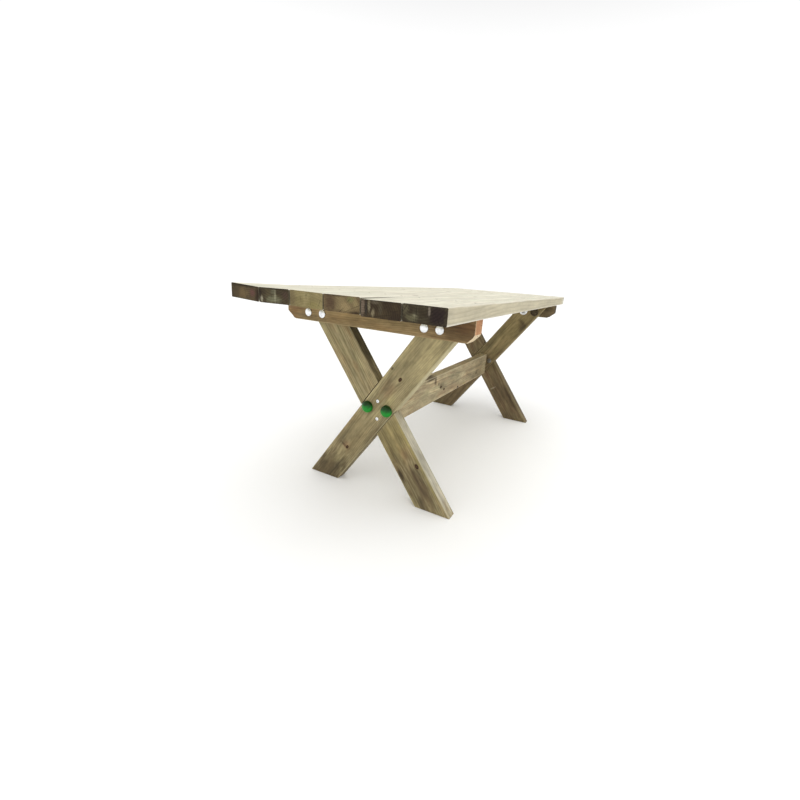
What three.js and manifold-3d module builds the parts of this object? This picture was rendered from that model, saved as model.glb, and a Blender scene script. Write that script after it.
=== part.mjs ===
// A plank-top outdoor table on two crossed-leg frames, joined by one stretcher on edge.
// Units are millimetres. +Z is up, +Y runs along the planks, and the origin is on the
// ground in the middle of the table. The two end frames are alike: the far one is the
// near one turned half a turn about Z.
import * as THREE from 'three';
import { mergeVertices } from 'three/addons/utils/BufferGeometryUtils.js';
import Module from 'manifold-3d';

const wasm = await Module();
wasm.setup();

// ---------------------------------------------------------------- driving dimensions

const GAP = 0.3; // left between pieces that rest on each other
const CUT_MARGIN = 1; // how far a cutter runs past the face it opens

const TABLE_LENGTH = 1800;
const TABLE_WIDTH = 730;
const TABLE_HEIGHT = 750;

const PLANK_COUNT = 6;
const PLANK_THICKNESS = 45;
const PLANK_SPACE = 3; // drainage gap between planks
const ARRIS_RADIUS = 3; // planed edge rounding
const FREE_END = 225; // the near stretch past the bearer, which has warped
const END_LIFTS = [[5, -1], [-1, 1.5], [1.5, 0], [0, 1], [-2.5, -2.5], [-2, -2]]; // left and right

const BEARER_INSET = 228; // from the plank ends to the bearer's outer face
const BEARER_THICKNESS = 58;
const BEARER_DEPTH = 70;
const BEARER_REACH = [-364, 356]; // sideways, its two ends
const LEFT_CORNER = [36, 27]; // width and height cut off the lower left corner
const RIGHT_CORNER = [24, 24];

const LEG_WIDTH = 115;
const LEG_THICKNESS = 45;
const LEG_LEAN = THREE.MathUtils.degToRad(36); // from the vertical
const CROSSING_HEIGHT = 346; // centre of the halving joint above the ground

const STRETCHER_THICKNESS = 45;
const STRETCHER_DEPTH = 120;
const STRETCHER_CENTRE = 324; // above the ground

const BOLT_DIAMETER = 12;
const BOLT_SIDES = 16;
const BOLT_HEAD_DIAMETER = 30;
const BOLT_HEAD_HEIGHT = 5.5;
const BOLT_NECK = 12; // width of the square under the head
const BOLT_NECK_LENGTH = 6;
const BOLT_END = 2; // shank showing past the nut
const HOLE_DIAMETER = 12.6;
const NUT_ACROSS_FLATS = 19;
const NUT_HEIGHT = 10;
const WASHER_DIAMETER = 45;
const WASHER_THICKNESS = 4;

const TOP_BOLT_PLACES = [-265, -203, 194, 246]; // sideways, drilled by eye and not quite alike
const TOP_BOLT_DROP = 41; // below the planks' underside
const CROSS_BOLT_OFFSET = 41; // sideways, each side of the crossing's centre

const CAP_DIAMETER = 44;
const CAP_HEIGHT = 19;
const CAP_WALL = 2;
const CAP_SKIRT = 5; // straight part of the lid's wall
const CAP_SIDES = 20;
const DOME_STEPS = 4; // rings in each rounded head or lid
const CAP_BASE_THICKNESS = 2.5;
const CAP_RING_OUTER = 30; // diameters of the collar round the nut
const CAP_RING_INNER = 26;
const CAP_RING_HEIGHT = 9;

const SCREW_DIAMETER = 6;
const SCREW_SIDES = 12;
const SCREW_HEAD_DIAMETER = 12.5;
const SCREW_HEAD_HEIGHT = 3.6;
const SCREW_LENGTH = 120;
const SCREW_POINT = 9;
const SCREW_HEIGHTS = { upper: 374, lower: 306 };

// -------------------------------------------------------------- worked-out places

const UNDERSIDE = TABLE_HEIGHT - PLANK_THICKNESS;
const WOOD_TOP = UNDERSIDE - GAP; // highest point of bearers and legs
const PLANK_WIDTH = (TABLE_WIDTH - PLANK_SPACE * (PLANK_COUNT - 1)) / PLANK_COUNT;
const LEG_HALF_SPREAD = LEG_WIDTH / 2 / Math.cos(LEG_LEAN); // half width, measured level
const LEG_SLOPE = Math.tan(LEG_LEAN);

// Depths inside one end frame, from the bearer's outer face inwards.
const LEG_OUTER = BEARER_THICKNESS + GAP;
const LEG_INNER = LEG_OUTER + LEG_THICKNESS;
const LEG_MIDDLE = (LEG_OUTER + LEG_INNER) / 2;
const FRAME_FACE = TABLE_LENGTH / 2 - BEARER_INSET;
const STRETCHER_HALF_LENGTH = FRAME_FACE - LEG_INNER - GAP;
const TOP_BOLT_HEIGHT = UNDERSIDE - TOP_BOLT_DROP;

// ------------------------------------------------------------------------ materials

const finish = (color, roughness, metalness) =>
  new THREE.MeshStandardMaterial({ color, roughness, metalness });

const TOP_WOOD = finish(0xcdbf9e, 0.8, 0);
const LEG_WOOD = finish(0x96865f, 0.8, 0);
const BEARER_WOOD = finish(0x7d6243, 0.8, 0);
const STRETCHER_WOOD = finish(0x9c8f70, 0.8, 0);
const ZINC = finish(0xd5d8da, 0.35, 1);
const GREEN_PLASTIC = finish(0x1e8a35, 0.35, 0);

// ------------------------------------------------------------------------- helpers

/** Turns a closed geometry into a manifold solid, with shared vertices merged. */
function solidOf(geometry) {
  const bare = geometry.clone();
  bare.deleteAttribute('normal');
  bare.deleteAttribute('uv');
  const merged = mergeVertices(bare, 1e-4);
  const triangles = [];
  for (let i = 0; i < merged.index.count; i += 3) {
    const [a, b, c] = [0, 1, 2].map((k) => merged.index.getX(i + k));
    if (a !== b && b !== c && c !== a) triangles.push(a, b, c);
  }
  const vertProperties = new Float32Array(merged.getAttribute('position').array);
  const triVerts = new Uint32Array(triangles);
  return new wasm.Manifold(new wasm.Mesh({ numProp: 3, vertProperties, triVerts }));
}

/** Turns a manifold solid back into a three.js geometry. */
function geometryOf(solid) {
  const mesh = solid.getMesh();
  const geometry = new THREE.BufferGeometry();
  geometry.setAttribute('position', new THREE.BufferAttribute(mesh.vertProperties, 3));
  geometry.setIndex(new THREE.BufferAttribute(mesh.triVerts, 1));
  geometry.computeVertexNormals();
  return geometry;
}

/** Cuts every cutter out of a body and gives back the geometry. */
function cut(body, cutters) {
  let solid = solidOf(body);
  for (const cutter of cutters) solid = solid.subtract(solidOf(cutter));
  return geometryOf(solid);
}

/** A named mesh at a place in its group. */
function piece(name, geometry, material, x = 0, y = 0, z = 0) {
  const mesh = new THREE.Mesh(geometry, material);
  mesh.name = name;
  mesh.position.set(x, y, z);
  return mesh;
}

/** A prism whose outline lies in X and Z and whose thickness runs from y0 to y1. */
function prism(outline, y0, y1) {
  const shape = new THREE.Shape(outline.map(([x, z]) => new THREE.Vector2(x, z)));
  const geometry = new THREE.ExtrudeGeometry(shape, { depth: y1 - y0, bevelEnabled: false });
  return geometry.rotateX(Math.PI / 2).translate(0, y1, 0);
}

/** A round rod along Y, from y0 to y1, centred on x and z. */
function rod(diameter, y0, y1, x = 0, z = 0, sides = BOLT_SIDES) {
  const radius = diameter / 2;
  const geometry = new THREE.CylinderGeometry(radius, radius, y1 - y0, sides);
  return geometry.translate(x, (y0 + y1) / 2, z);
}

/** A square bar along Y, from y0 to y1, centred on x and z. */
function squareBar(width, y0, y1, x = 0, z = 0) {
  return new THREE.BoxGeometry(width, y1 - y0, width).translate(x, (y0 + y1) / 2, z);
}

/** A turned shape about Y from [radius, y] pairs that run from the lowest y upwards. */
function turned(profile, sides) {
  return new THREE.LatheGeometry(profile.map(([r, y]) => new THREE.Vector2(r, y)), sides);
}

/** Points of a quarter ellipse from the axis at y = -height to the rim at y = 0. */
function domeProfile(radius, height, steps) {
  const points = [];
  for (let i = 0; i <= steps; i += 1) {
    const angle = (i / steps) * (Math.PI / 2);
    points.push([radius * Math.sin(angle), -height * Math.cos(angle)]);
  }
  points[0][0] = 0;
  return points;
}

// --------------------------------------------------------------------------- top

/** One plank along Y, its long edges rounded and its near end lifted at either edge. */
function plank([left, right]) {
  const halfWidth = PLANK_WIDTH / 2 - ARRIS_RADIUS;
  const halfDepth = PLANK_THICKNESS / 2 - ARRIS_RADIUS;
  const shape = new THREE.Shape();
  const corners = [[1, 1], [-1, 1], [-1, -1], [1, -1]];
  corners.forEach(([sx, sz], i) => {
    const start = (i * Math.PI) / 2;
    shape.absarc(sx * halfWidth, sz * halfDepth, ARRIS_RADIUS, start, start + Math.PI / 2);
  });
  const settings = { depth: TABLE_LENGTH, steps: 2, bevelEnabled: false, curveSegments: 3 };
  const geometry = new THREE.ExtrudeGeometry(shape, settings)
    .rotateX(Math.PI / 2)
    .translate(0, TABLE_LENGTH / 2, 0);
  const position = geometry.getAttribute('position');
  const nearEnd = -TABLE_LENGTH / 2;
  for (let i = 0; i < position.count; i += 1) {
    if (Math.abs(position.getY(i)) < 1) position.setY(i, nearEnd + FREE_END);
    if (position.getY(i) < nearEnd + 1) {
      const share = position.getX(i) / PLANK_WIDTH + 0.5;
      position.setZ(i, position.getZ(i) + left + (right - left) * share);
    }
  }
  return geometry;
}

function tableTop() {
  const group = new THREE.Group();
  for (let i = 0; i < PLANK_COUNT; i += 1) {
    const x = (i - (PLANK_COUNT - 1) / 2) * (PLANK_WIDTH + PLANK_SPACE);
    const z = TABLE_HEIGHT - PLANK_THICKNESS / 2;
    group.add(piece(`top_plank_${i + 1}`, plank(END_LIFTS[i]), TOP_WOOD, x, 0, z));
  }
  return group;
}

// ------------------------------------------------------------------- end frame wood

/** The cross bar under the planks, with bevelled lower corners and four bolt holes. */
function bearer() {
  const [left, right] = BEARER_REACH;
  const low = WOOD_TOP - BEARER_DEPTH;
  const body = prism([
    [left + LEFT_CORNER[0], low],
    [right - RIGHT_CORNER[0], low],
    [right, low + RIGHT_CORNER[1]],
    [right, WOOD_TOP],
    [left, WOOD_TOP],
    [left, low + LEFT_CORNER[1]],
  ], 0, BEARER_THICKNESS);
  const cutters = TOP_BOLT_PLACES.flatMap((x) => [
    rod(HOLE_DIAMETER, -CUT_MARGIN, BEARER_THICKNESS + CUT_MARGIN, x, TOP_BOLT_HEIGHT),
    squareBar(BOLT_NECK + 2 * GAP, -CUT_MARGIN, BOLT_NECK_LENGTH + GAP, x, TOP_BOLT_HEIGHT),
  ]);
  return cut(body, cutters);
}

/** Level-cut outline of a leg that rises towards side (+1 or -1), grown by extra. */
function legOutline(side, extra, low, high) {
  const spread = LEG_HALF_SPREAD + extra / Math.cos(LEG_LEAN);
  const centre = (z) => side * (z - CROSSING_HEIGHT) * LEG_SLOPE;
  return [
    [centre(low) - spread, low],
    [centre(low) + spread, low],
    [centre(high) + spread, high],
    [centre(high) - spread, high],
  ];
}

/** The half of the crossing that a leg gives up to the other leg. */
function halvingNotch(side, y0, y1) {
  return prism(legOutline(-side, GAP, 0, UNDERSIDE), y0, y1);
}

/** Holes for the leg-top bolts, the crossing bolts and the stretcher's screws. */
function legHoles(side) {
  const from = LEG_OUTER - CUT_MARGIN;
  const to = LEG_INNER + CUT_MARGIN;
  const tops = TOP_BOLT_PLACES.filter((x) => Math.sign(x) === side);
  const neck = BOLT_NECK + 2 * GAP;
  const screwHole = SCREW_DIAMETER + 2 * GAP;
  const headRadius = SCREW_HEAD_DIAMETER / 2 + GAP;
  return [
    ...tops.map((x) => rod(HOLE_DIAMETER, from, to, x, TOP_BOLT_HEIGHT)),
    ...[-CROSS_BOLT_OFFSET, CROSS_BOLT_OFFSET].flatMap((x) => [
      rod(HOLE_DIAMETER, from, to, x, CROSSING_HEIGHT),
      squareBar(neck, LEG_INNER - BOLT_NECK_LENGTH - GAP, to, x, CROSSING_HEIGHT),
    ]),
    ...Object.values(SCREW_HEIGHTS).flatMap((z) => [
      rod(screwHole, from, to, 0, z, SCREW_SIDES),
      turned([
        [0, LEG_OUTER - CUT_MARGIN],
        [headRadius, LEG_OUTER - CUT_MARGIN],
        [headRadius, LEG_OUTER + GAP],
        [screwHole / 2, LEG_OUTER + SCREW_HEAD_HEIGHT + 2 * GAP],
        [0, LEG_OUTER + SCREW_HEAD_HEIGHT + 2 * GAP],
      ], SCREW_SIDES).translate(0, 0, z),
    ]),
  ];
}

/** The leg whose outer face is whole. It rises to the right. */
function frontLeg() {
  const body = prism(legOutline(1, 0, 0, WOOD_TOP), LEG_OUTER, LEG_INNER);
  const notch = halvingNotch(1, LEG_MIDDLE - GAP / 2, LEG_INNER + CUT_MARGIN);
  return cut(body, [notch, ...legHoles(1)]);
}

/** The leg whose inner face is whole. It rises to the left. */
function backLeg() {
  const body = prism(legOutline(-1, 0, 0, WOOD_TOP), LEG_OUTER, LEG_INNER);
  const notch = halvingNotch(-1, LEG_OUTER - CUT_MARGIN, LEG_MIDDLE + GAP / 2);
  return cut(body, [notch, ...legHoles(-1)]);
}

// ------------------------------------------------------------------------- hardware

/** A round-headed bolt with a square neck. Its head stands on y = 0 and points to -Y. */
function carriageBolt(length) {
  const radius = BOLT_DIAMETER / 2;
  const head = domeProfile(BOLT_HEAD_DIAMETER / 2, BOLT_HEAD_HEIGHT, DOME_STEPS);
  const profile = [...head, [radius, 0], [radius, length - 1], [radius - 1, length], [0, length]];
  const neck = squareBar(BOLT_NECK, -CUT_MARGIN, BOLT_NECK_LENGTH);
  return geometryOf(solidOf(turned(profile, BOLT_SIDES)).add(solidOf(neck)));
}

/** A hexagon nut on y = 0 that stands towards +Y. */
function hexagonNut() {
  const corner = NUT_ACROSS_FLATS / Math.sqrt(3);
  const outline = [];
  for (let i = 0; i < 6; i += 1) {
    const angle = (i * Math.PI) / 3;
    outline.push([corner * Math.cos(angle), corner * Math.sin(angle)]);
  }
  const hole = rod(HOLE_DIAMETER, -CUT_MARGIN, NUT_HEIGHT + CUT_MARGIN);
  return cut(prism(outline, 0, NUT_HEIGHT), [hole]);
}

/** A flat timber washer on y = 0 that stands towards +Y. */
function timberWasher() {
  const hole = HOLE_DIAMETER / 2;
  const rim = WASHER_DIAMETER / 2;
  const section = [[hole, 0], [rim, 0], [rim, WASHER_THICKNESS], [hole, WASHER_THICKNESS], [hole, 0]];
  return turned(section, CAP_SIDES);
}

/** The cap's base: a disc on y = 0 under the nut, with a collar that stands towards -Y. */
function capBase() {
  const hole = HOLE_DIAMETER / 2;
  const rim = CAP_DIAMETER / 2 - CAP_WALL - GAP;
  const outer = CAP_RING_OUTER / 2;
  const inner = CAP_RING_INNER / 2;
  return turned([
    [hole, -CAP_BASE_THICKNESS],
    [inner, -CAP_BASE_THICKNESS],
    [inner, -CAP_RING_HEIGHT],
    [outer, -CAP_RING_HEIGHT],
    [outer, -CAP_BASE_THICKNESS],
    [rim, -CAP_BASE_THICKNESS],
    [rim, 0],
    [hole, 0],
    [hole, -CAP_BASE_THICKNESS],
  ], CAP_SIDES);
}

/** The cap's domed lid, open towards +Y, with its rim on y = 0. */
function capLid() {
  const outer = CAP_DIAMETER / 2;
  const rise = CAP_HEIGHT - CAP_SKIRT;
  const inner = outer - CAP_WALL;
  const shift = ([r, y]) => [r, y - CAP_SKIRT];
  const outside = domeProfile(outer, rise, DOME_STEPS).map(shift);
  const inside = domeProfile(inner, rise - CAP_WALL, DOME_STEPS).map(shift);
  const profile = [...outside, [outer, 0], [inner, 0], ...inside.reverse()];
  return turned(profile, CAP_SIDES);
}

/** A countersunk screw whose flat head lies on y = 0 and whose shank runs to +Y. */
function countersunkScrew() {
  const head = SCREW_HEAD_DIAMETER / 2;
  const shank = SCREW_DIAMETER / 2;
  return turned([
    [0, 0],
    [head, 0],
    [shank, SCREW_HEAD_HEIGHT],
    [shank, SCREW_LENGTH - SCREW_POINT],
    [0, SCREW_LENGTH],
  ], SCREW_SIDES);
}

// ------------------------------------------------------------------- sub-assemblies

/** Four bolts, washers and nuts that clamp the leg tops to the bearer. */
function legTopFasteners(end) {
  const group = new THREE.Group();
  const washerFace = LEG_INNER + GAP;
  const nutFace = washerFace + WASHER_THICKNESS + GAP;
  const length = nutFace + NUT_HEIGHT + BOLT_END + GAP;
  TOP_BOLT_PLACES.forEach((x, i) => {
    const z = TOP_BOLT_HEIGHT;
    group.add(
      piece(`${end}_top_bolt_${i + 1}`, carriageBolt(length), ZINC, x, -GAP, z),
      piece(`${end}_top_washer_${i + 1}`, timberWasher(), ZINC, x, washerFace, z),
      piece(`${end}_top_nut_${i + 1}`, hexagonNut(), ZINC, x, nutFace, z),
    );
  });
  return group;
}

/** Two bolts through the crossing, headed inside, each with a nut under a snap cap. */
function crossingFasteners(end) {
  const group = new THREE.Group();
  const headFace = LEG_INNER + GAP;
  const baseFace = LEG_OUTER - GAP;
  const nutFace = baseFace - CAP_BASE_THICKNESS - GAP;
  const length = headFace - nutFace + NUT_HEIGHT + BOLT_END;
  for (const [side, x] of [['left', -CROSS_BOLT_OFFSET], ['right', CROSS_BOLT_OFFSET]]) {
    const z = CROSSING_HEIGHT;
    const bolt = carriageBolt(length).rotateX(Math.PI);
    const nut = hexagonNut().rotateX(Math.PI);
    group.add(
      piece(`${end}_cross_bolt_${side}`, bolt, ZINC, x, headFace, z),
      piece(`${end}_cross_nut_${side}`, nut, ZINC, x, nutFace, z),
      piece(`${end}_cap_base_${side}`, capBase(), GREEN_PLASTIC, x, baseFace, z),
      piece(`${end}_cap_lid_${side}`, capLid(), GREEN_PLASTIC, x, baseFace, z),
    );
  }
  return group;
}

/** Two long screws through the crossing into the stretcher's end grain. */
function stretcherScrews(end) {
  const group = new THREE.Group();
  for (const [place, z] of Object.entries(SCREW_HEIGHTS)) {
    const name = `${end}_stretcher_screw_${place}`;
    group.add(piece(name, countersunkScrew(), ZINC, 0, LEG_OUTER + GAP, z));
  }
  return group;
}

/** One end of the table, outer face towards -Y. Its group stands at the bearer's face. */
function endFrame(end) {
  const group = new THREE.Group();
  group.add(
    piece(`${end}_bearer`, bearer(), BEARER_WOOD),
    piece(`${end}_leg_front`, frontLeg(), LEG_WOOD),
    piece(`${end}_leg_back`, backLeg(), LEG_WOOD),
    legTopFasteners(end),
    crossingFasteners(end),
    stretcherScrews(end),
  );
  return group;
}

/** The stretcher on edge between the two crossings, bored for its screws. */
function stretcher() {
  const body = new THREE.BoxGeometry(
    STRETCHER_THICKNESS, 2 * STRETCHER_HALF_LENGTH, STRETCHER_DEPTH,
  ).translate(0, 0, STRETCHER_CENTRE);
  const tip = FRAME_FACE - LEG_OUTER - SCREW_LENGTH - 2 * GAP;
  const mouth = STRETCHER_HALF_LENGTH + CUT_MARGIN;
  const bore = SCREW_DIAMETER + 2 * GAP;
  const cutters = Object.values(SCREW_HEIGHTS).flatMap((z) => [
    rod(bore, -mouth, -tip, 0, z, SCREW_SIDES),
    rod(bore, tip, mouth, 0, z, SCREW_SIDES),
  ]);
  return piece('stretcher', cut(body, cutters), STRETCHER_WOOD);
}

// ------------------------------------------------------------------------ the table

const table = new THREE.Group();
const nearEnd = endFrame('near');
nearEnd.position.y = -FRAME_FACE;
const farEnd = endFrame('far');
farEnd.position.y = FRAME_FACE;
farEnd.rotation.z = Math.PI;
table.add(tableTop(), nearEnd, farEnd, stretcher());

export default table;
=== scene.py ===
"""An outdoor table of planed, pressure-treated pine on two crossed-leg end frames.

Every wooden board, bolt, washer, nut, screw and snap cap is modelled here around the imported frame,
dressed in its own procedural finish, and made to ride on the body that it belongs to. Lengths are in
metres; MM turns millimetres into them. A board is always modelled lying along its own Y axis, with its
width on X and its thickness on Z, and is then put in its place.
"""

import logging
import math
from collections.abc import Callable
from dataclasses import dataclass, field
from enum import Enum
from typing import ClassVar

import bmesh
import bpy
from bpy.types import Material, Node, NodeSocket, NodeTree, Object
from mathutils import Euler, Matrix, Vector


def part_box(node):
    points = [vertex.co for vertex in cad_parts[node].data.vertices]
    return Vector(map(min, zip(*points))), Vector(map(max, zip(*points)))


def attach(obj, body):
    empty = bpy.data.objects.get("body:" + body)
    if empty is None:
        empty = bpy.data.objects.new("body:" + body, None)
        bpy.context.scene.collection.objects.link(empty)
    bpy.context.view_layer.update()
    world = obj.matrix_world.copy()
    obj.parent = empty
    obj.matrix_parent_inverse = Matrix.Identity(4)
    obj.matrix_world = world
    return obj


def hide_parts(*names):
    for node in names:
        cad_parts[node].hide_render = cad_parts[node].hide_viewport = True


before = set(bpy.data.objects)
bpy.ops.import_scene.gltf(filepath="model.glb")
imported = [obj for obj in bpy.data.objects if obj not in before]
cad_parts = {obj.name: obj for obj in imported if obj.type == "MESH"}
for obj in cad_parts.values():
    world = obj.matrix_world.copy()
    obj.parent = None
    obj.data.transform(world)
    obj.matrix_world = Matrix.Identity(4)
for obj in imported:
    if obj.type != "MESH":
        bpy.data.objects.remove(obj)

MM = 0.001
TABLE_BODY = "table"
LOG = logging.getLogger("table")

# Real sizes that several classes share.
BOARD_ARRIS = 3 * MM
END_EASING = 0.7 * MM
SEGMENT = 30 * MM  # length of one slice of a board, short enough for its warp to look smooth
LAP_PLAY = 1.8 * MM  # gap left each side of a halving joint
SMOOTH_ANGLE = math.radians(32)
UNDER = 0.4 * MM  # a board is made this much under its node, so that unevenness stays inside it
BOLT_BORE = 12.4 * MM
TINY = 0.01 * MM  # less than any two points that are meant to be apart
DOME_TIP = 0.02  # the flat at a dome's tip, as a share of its radius
ACROSS_TABLE, ALONG_TABLE, UP = Vector((1, 0, 0)), Vector((0, 1, 0)), Vector((0, 0, 1))


class End(Enum):
    """The two ends of the table, each with the way its outer side faces along Y."""

    NEAR = -1
    FAR = 1

    @property
    def label(self) -> str:
        """The end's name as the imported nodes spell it."""
        return self.name.lower()

    @property
    def outward(self) -> Vector:
        """The way that the end's outer faces look."""
        return Vector((0.0, self.value, 0.0))


class Side(Enum):
    """Left and right as seen from outside an end, each with its sign along that view's X."""

    LEFT = -1
    RIGHT = 1

    @property
    def label(self) -> str:
        """The side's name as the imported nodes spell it."""
        return self.name.lower()


class Facing(Enum):
    """Which way a fastener's head looks at its end of the table."""

    OUTWARD = 1
    INWARD = -1


# ------------------------------------------------------------------------------ small tools


def srgb(code: str) -> tuple[float, float, float, float]:
    """Turns an sRGB hex colour into linear RGBA.

    Args:
        code: six hex digits, with or without a leading #.

    Returns:
        The linear red, green and blue, and an alpha of 1.
    """
    digits = code.lstrip("#")
    parts = [int(digits[i:i + 2], 16) / 255 for i in (0, 2, 4)]
    linear = [p / 12.92 if p <= 0.04045 else ((p + 0.055) / 1.055) ** 2.4 for p in parts]
    return (*linear, 1.0)


def add_node(tree: NodeTree, kind: str, settings: dict | None = None,
             links: dict | None = None) -> Node:
    """Adds a shader node with its settings and its incoming links.

    Args:
        tree: the node tree that gets the node.
        kind: the node's type without its ShaderNode prefix.
        settings: values by property name, or by an input's name or number. "stops" sets a colour
            ramp from pairs of position and linear colour.
        links: what feeds each input, by the input's name or number: a socket, or a node whose
            first output is meant.

    Returns:
        The new node.
    """
    node = tree.nodes.new("ShaderNode" + kind)
    for name, value in (settings or {}).items():
        if name == "stops":
            ramp = node.color_ramp.elements
            while len(ramp) < len(value):
                ramp.new(1.0)
            for stop, (position, colour) in zip(ramp, value):
                stop.position = position
                stop.color = colour
        elif isinstance(name, str) and name not in node.inputs and hasattr(node, name):
            setattr(node, name, value)
        else:
            node.inputs[name].default_value = value
    for name, source in (links or {}).items():
        socket = source.outputs[0] if isinstance(source, Node) else source
        tree.links.new(socket, node.inputs[name])
    return node


def new_material(name: str) -> tuple[Material, NodeTree]:
    """Makes an empty node material.

    Args:
        name: the material's name.

    Returns:
        The material and its cleared node tree.
    """
    material = bpy.data.materials.new(name)
    material.use_nodes = True
    material.node_tree.nodes.clear()
    return material, material.node_tree


def deselect() -> None:
    """Leaves edit mode and deselects every object."""
    if bpy.context.object is not None and bpy.context.object.mode != "OBJECT":
        bpy.ops.object.mode_set(mode="OBJECT")
    bpy.ops.object.select_all(action="DESELECT")


def make_active(piece: Object) -> None:
    """Makes a piece the only selected object and the active one."""
    deselect()
    piece.select_set(True)
    bpy.context.view_layer.objects.active = piece


def edit(piece: Object) -> None:
    """Enters edit mode on a piece, ready to select edges."""
    make_active(piece)
    bpy.ops.object.mode_set(mode="EDIT")
    bpy.ops.mesh.select_mode(type="EDGE")


def select_edges(piece: Object, wanted: Callable[[Vector, Vector], bool]) -> None:
    """Selects, in edit mode, the edges whose two ends pass a test.

    Args:
        piece: the object in edit mode.
        wanted: takes an edge's two ends, in the piece's own coordinates.
    """
    bpy.ops.mesh.select_all(action="DESELECT")
    mesh = bmesh.from_edit_mesh(piece.data)
    for edge in mesh.edges:
        edge.select_set(wanted(edge.verts[0].co, edge.verts[1].co))
    mesh.select_flush_mode()
    bmesh.update_edit_mesh(piece.data)


def apply_modifier(piece: Object, kind: str, **settings: object) -> None:
    """Adds a modifier to a piece and applies it at once.

    Args:
        piece: the object that gets it.
        kind: the modifier's type.
        **settings: its properties by name.
    """
    make_active(piece)
    modifier = piece.modifiers.new(kind.title(), kind)
    for name, value in settings.items():
        setattr(modifier, name, value)
    bpy.ops.object.modifier_apply(modifier=modifier.name)


def carve(piece: Object, tool: Object, operation: str = "DIFFERENCE") -> None:
    """Cuts a tool out of a piece, or joins or intersects the two, and removes the tool.

    Args:
        piece: the object that is changed.
        tool: the closed object to work with.
        operation: DIFFERENCE, UNION or INTERSECT.
    """
    apply_modifier(piece, "BOOLEAN", object=tool, operation=operation, solver="EXACT")
    bpy.data.objects.remove(tool, do_unlink=True)


def settle(piece: Object) -> None:
    """Puts a piece's place and turn into its mesh, so that its object sits at the origin."""
    make_active(piece)
    bpy.ops.object.transform_apply(location=True, rotation=True, scale=True)


def smooth(piece: Object, angle: float = SMOOTH_ANGLE) -> None:
    """Shades a piece smooth where its faces meet at less than an angle."""
    make_active(piece)
    bpy.ops.object.shade_smooth_by_angle(angle=angle)


def block(name: str, centre: Vector, size: Vector, turn: Euler = Euler()) -> Object:
    """Adds a cube at its size and place, with the size already in its mesh.

    Args:
        name: the object's name.
        centre: where its middle goes.
        size: its full lengths on its own X, Y and Z.
        turn: how it is turned.

    Returns:
        The new object.
    """
    deselect()
    bpy.ops.mesh.primitive_cube_add(size=1.0, location=centre, rotation=turn, scale=size)
    piece = bpy.context.object
    piece.name = piece.data.name = name
    bpy.ops.object.transform_apply(location=False, rotation=False, scale=True)
    return piece


def rod(centre: Vector, diameter: float, length: float, sides: int = 28) -> Object:
    """Adds a plain cylinder along the table, which cuts a bore.

    Args:
        centre: its middle.
        diameter: its diameter.
        length: its length.
        sides: how many sides it has.

    Returns:
        The new object.
    """
    deselect()
    turn = ALONG_TABLE.to_track_quat("Z", "Y").to_euler()
    bpy.ops.mesh.primitive_cylinder_add(
        vertices=sides, radius=diameter / 2, depth=length, location=centre, rotation=turn)
    return bpy.context.object


def turned(name: str, profile: list[tuple[float, float]], sides: int, ring: bool = False) -> Object:
    """Raises a round solid about Z from a circle, one extrusion for each point of its profile.

    Args:
        name: the object's name.
        profile: pairs of radius and height, from one end to the other. On a ring the last point
            joins the first.
        sides: how many sides it has.
        ring: whether the profile closes on itself round a hole.

    Returns:
        The new object, closed and with its faces pointing out.
    """
    deselect()
    radius, height = profile[0]
    bpy.ops.mesh.primitive_circle_add(
        vertices=sides, radius=radius, fill_type="NOTHING" if ring else "NGON", location=(0, 0, height))
    piece = bpy.context.object
    piece.name = piece.data.name = name
    bpy.ops.object.transform_apply(location=True, rotation=False, scale=False)
    edit(piece)
    bpy.ops.mesh.select_all(action="SELECT")
    for next_radius, next_height in profile[1:] + ([profile[0]] if ring else []):
        lift = (0, 0, next_height - height)
        bpy.ops.mesh.extrude_edges_move(TRANSFORM_OT_translate={"value": lift})
        if next_radius != radius:
            grow = next_radius / radius
            bpy.ops.transform.resize(value=(grow, grow, 1), center_override=(0, 0, next_height))
        radius, height = next_radius, next_height
    if not ring:
        bpy.ops.mesh.edge_face_add()
    bpy.ops.mesh.select_all(action="SELECT")
    bpy.ops.mesh.remove_doubles(threshold=0.001 * MM)
    bpy.ops.mesh.normals_make_consistent(inside=False)
    deselect()
    return piece


def dome(radius: float, height: float, steps: int, base: float) -> list[tuple[float, float]]:
    """Lists a quarter ellipse from its rim to a small flat at its tip.

    Args:
        radius: its radius at the rim.
        height: how far it rises.
        steps: how many stretches it has.
        base: the height of the rim.

    Returns:
        Pairs of radius and height.
    """
    angles = [step / steps * math.acos(DOME_TIP) for step in range(steps + 1)]
    return [(radius * math.cos(a), base + height * math.sin(a)) for a in angles]


# ------------------------------------------------------------------------------ timber finishes

# The gap colour darkens the sides of boards that stand in a gap: partly grime, partly painted shade.
GAP_GRIME_AND_SHADE, CRACK_DARK = "#6A6250", "#17100A"

@dataclass(frozen=True)
class Knot:
    """A branch stub in a board: its place on the wide face and its radius, in metres."""

    across: float
    along: float
    radius: float


@dataclass(frozen=True)
class Stain:
    """A soft patch of another colour: its place, its half sizes across and along, and its depth.

    On a sawn end its along is counted upwards through the thickness.
    """

    across: float
    along: float
    half_width: float
    half_length: float
    colour: str
    depth: float


@dataclass(frozen=True)
class Grain:
    """How a board was sawn from its log.

    The pith runs along the board at pith_across and pith_above from its middle line, one year's
    growth is ring wide, and wander is how far the pith strays along the board.
    """

    pith_across: float = 0.012
    pith_above: float = -0.062
    ring: float = 6.5 * MM
    wander: float = 34 * MM
    seed: float = 0.0
    knots: tuple[Knot, ...] = ()
    stains: tuple[Stain, ...] = ()


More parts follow.
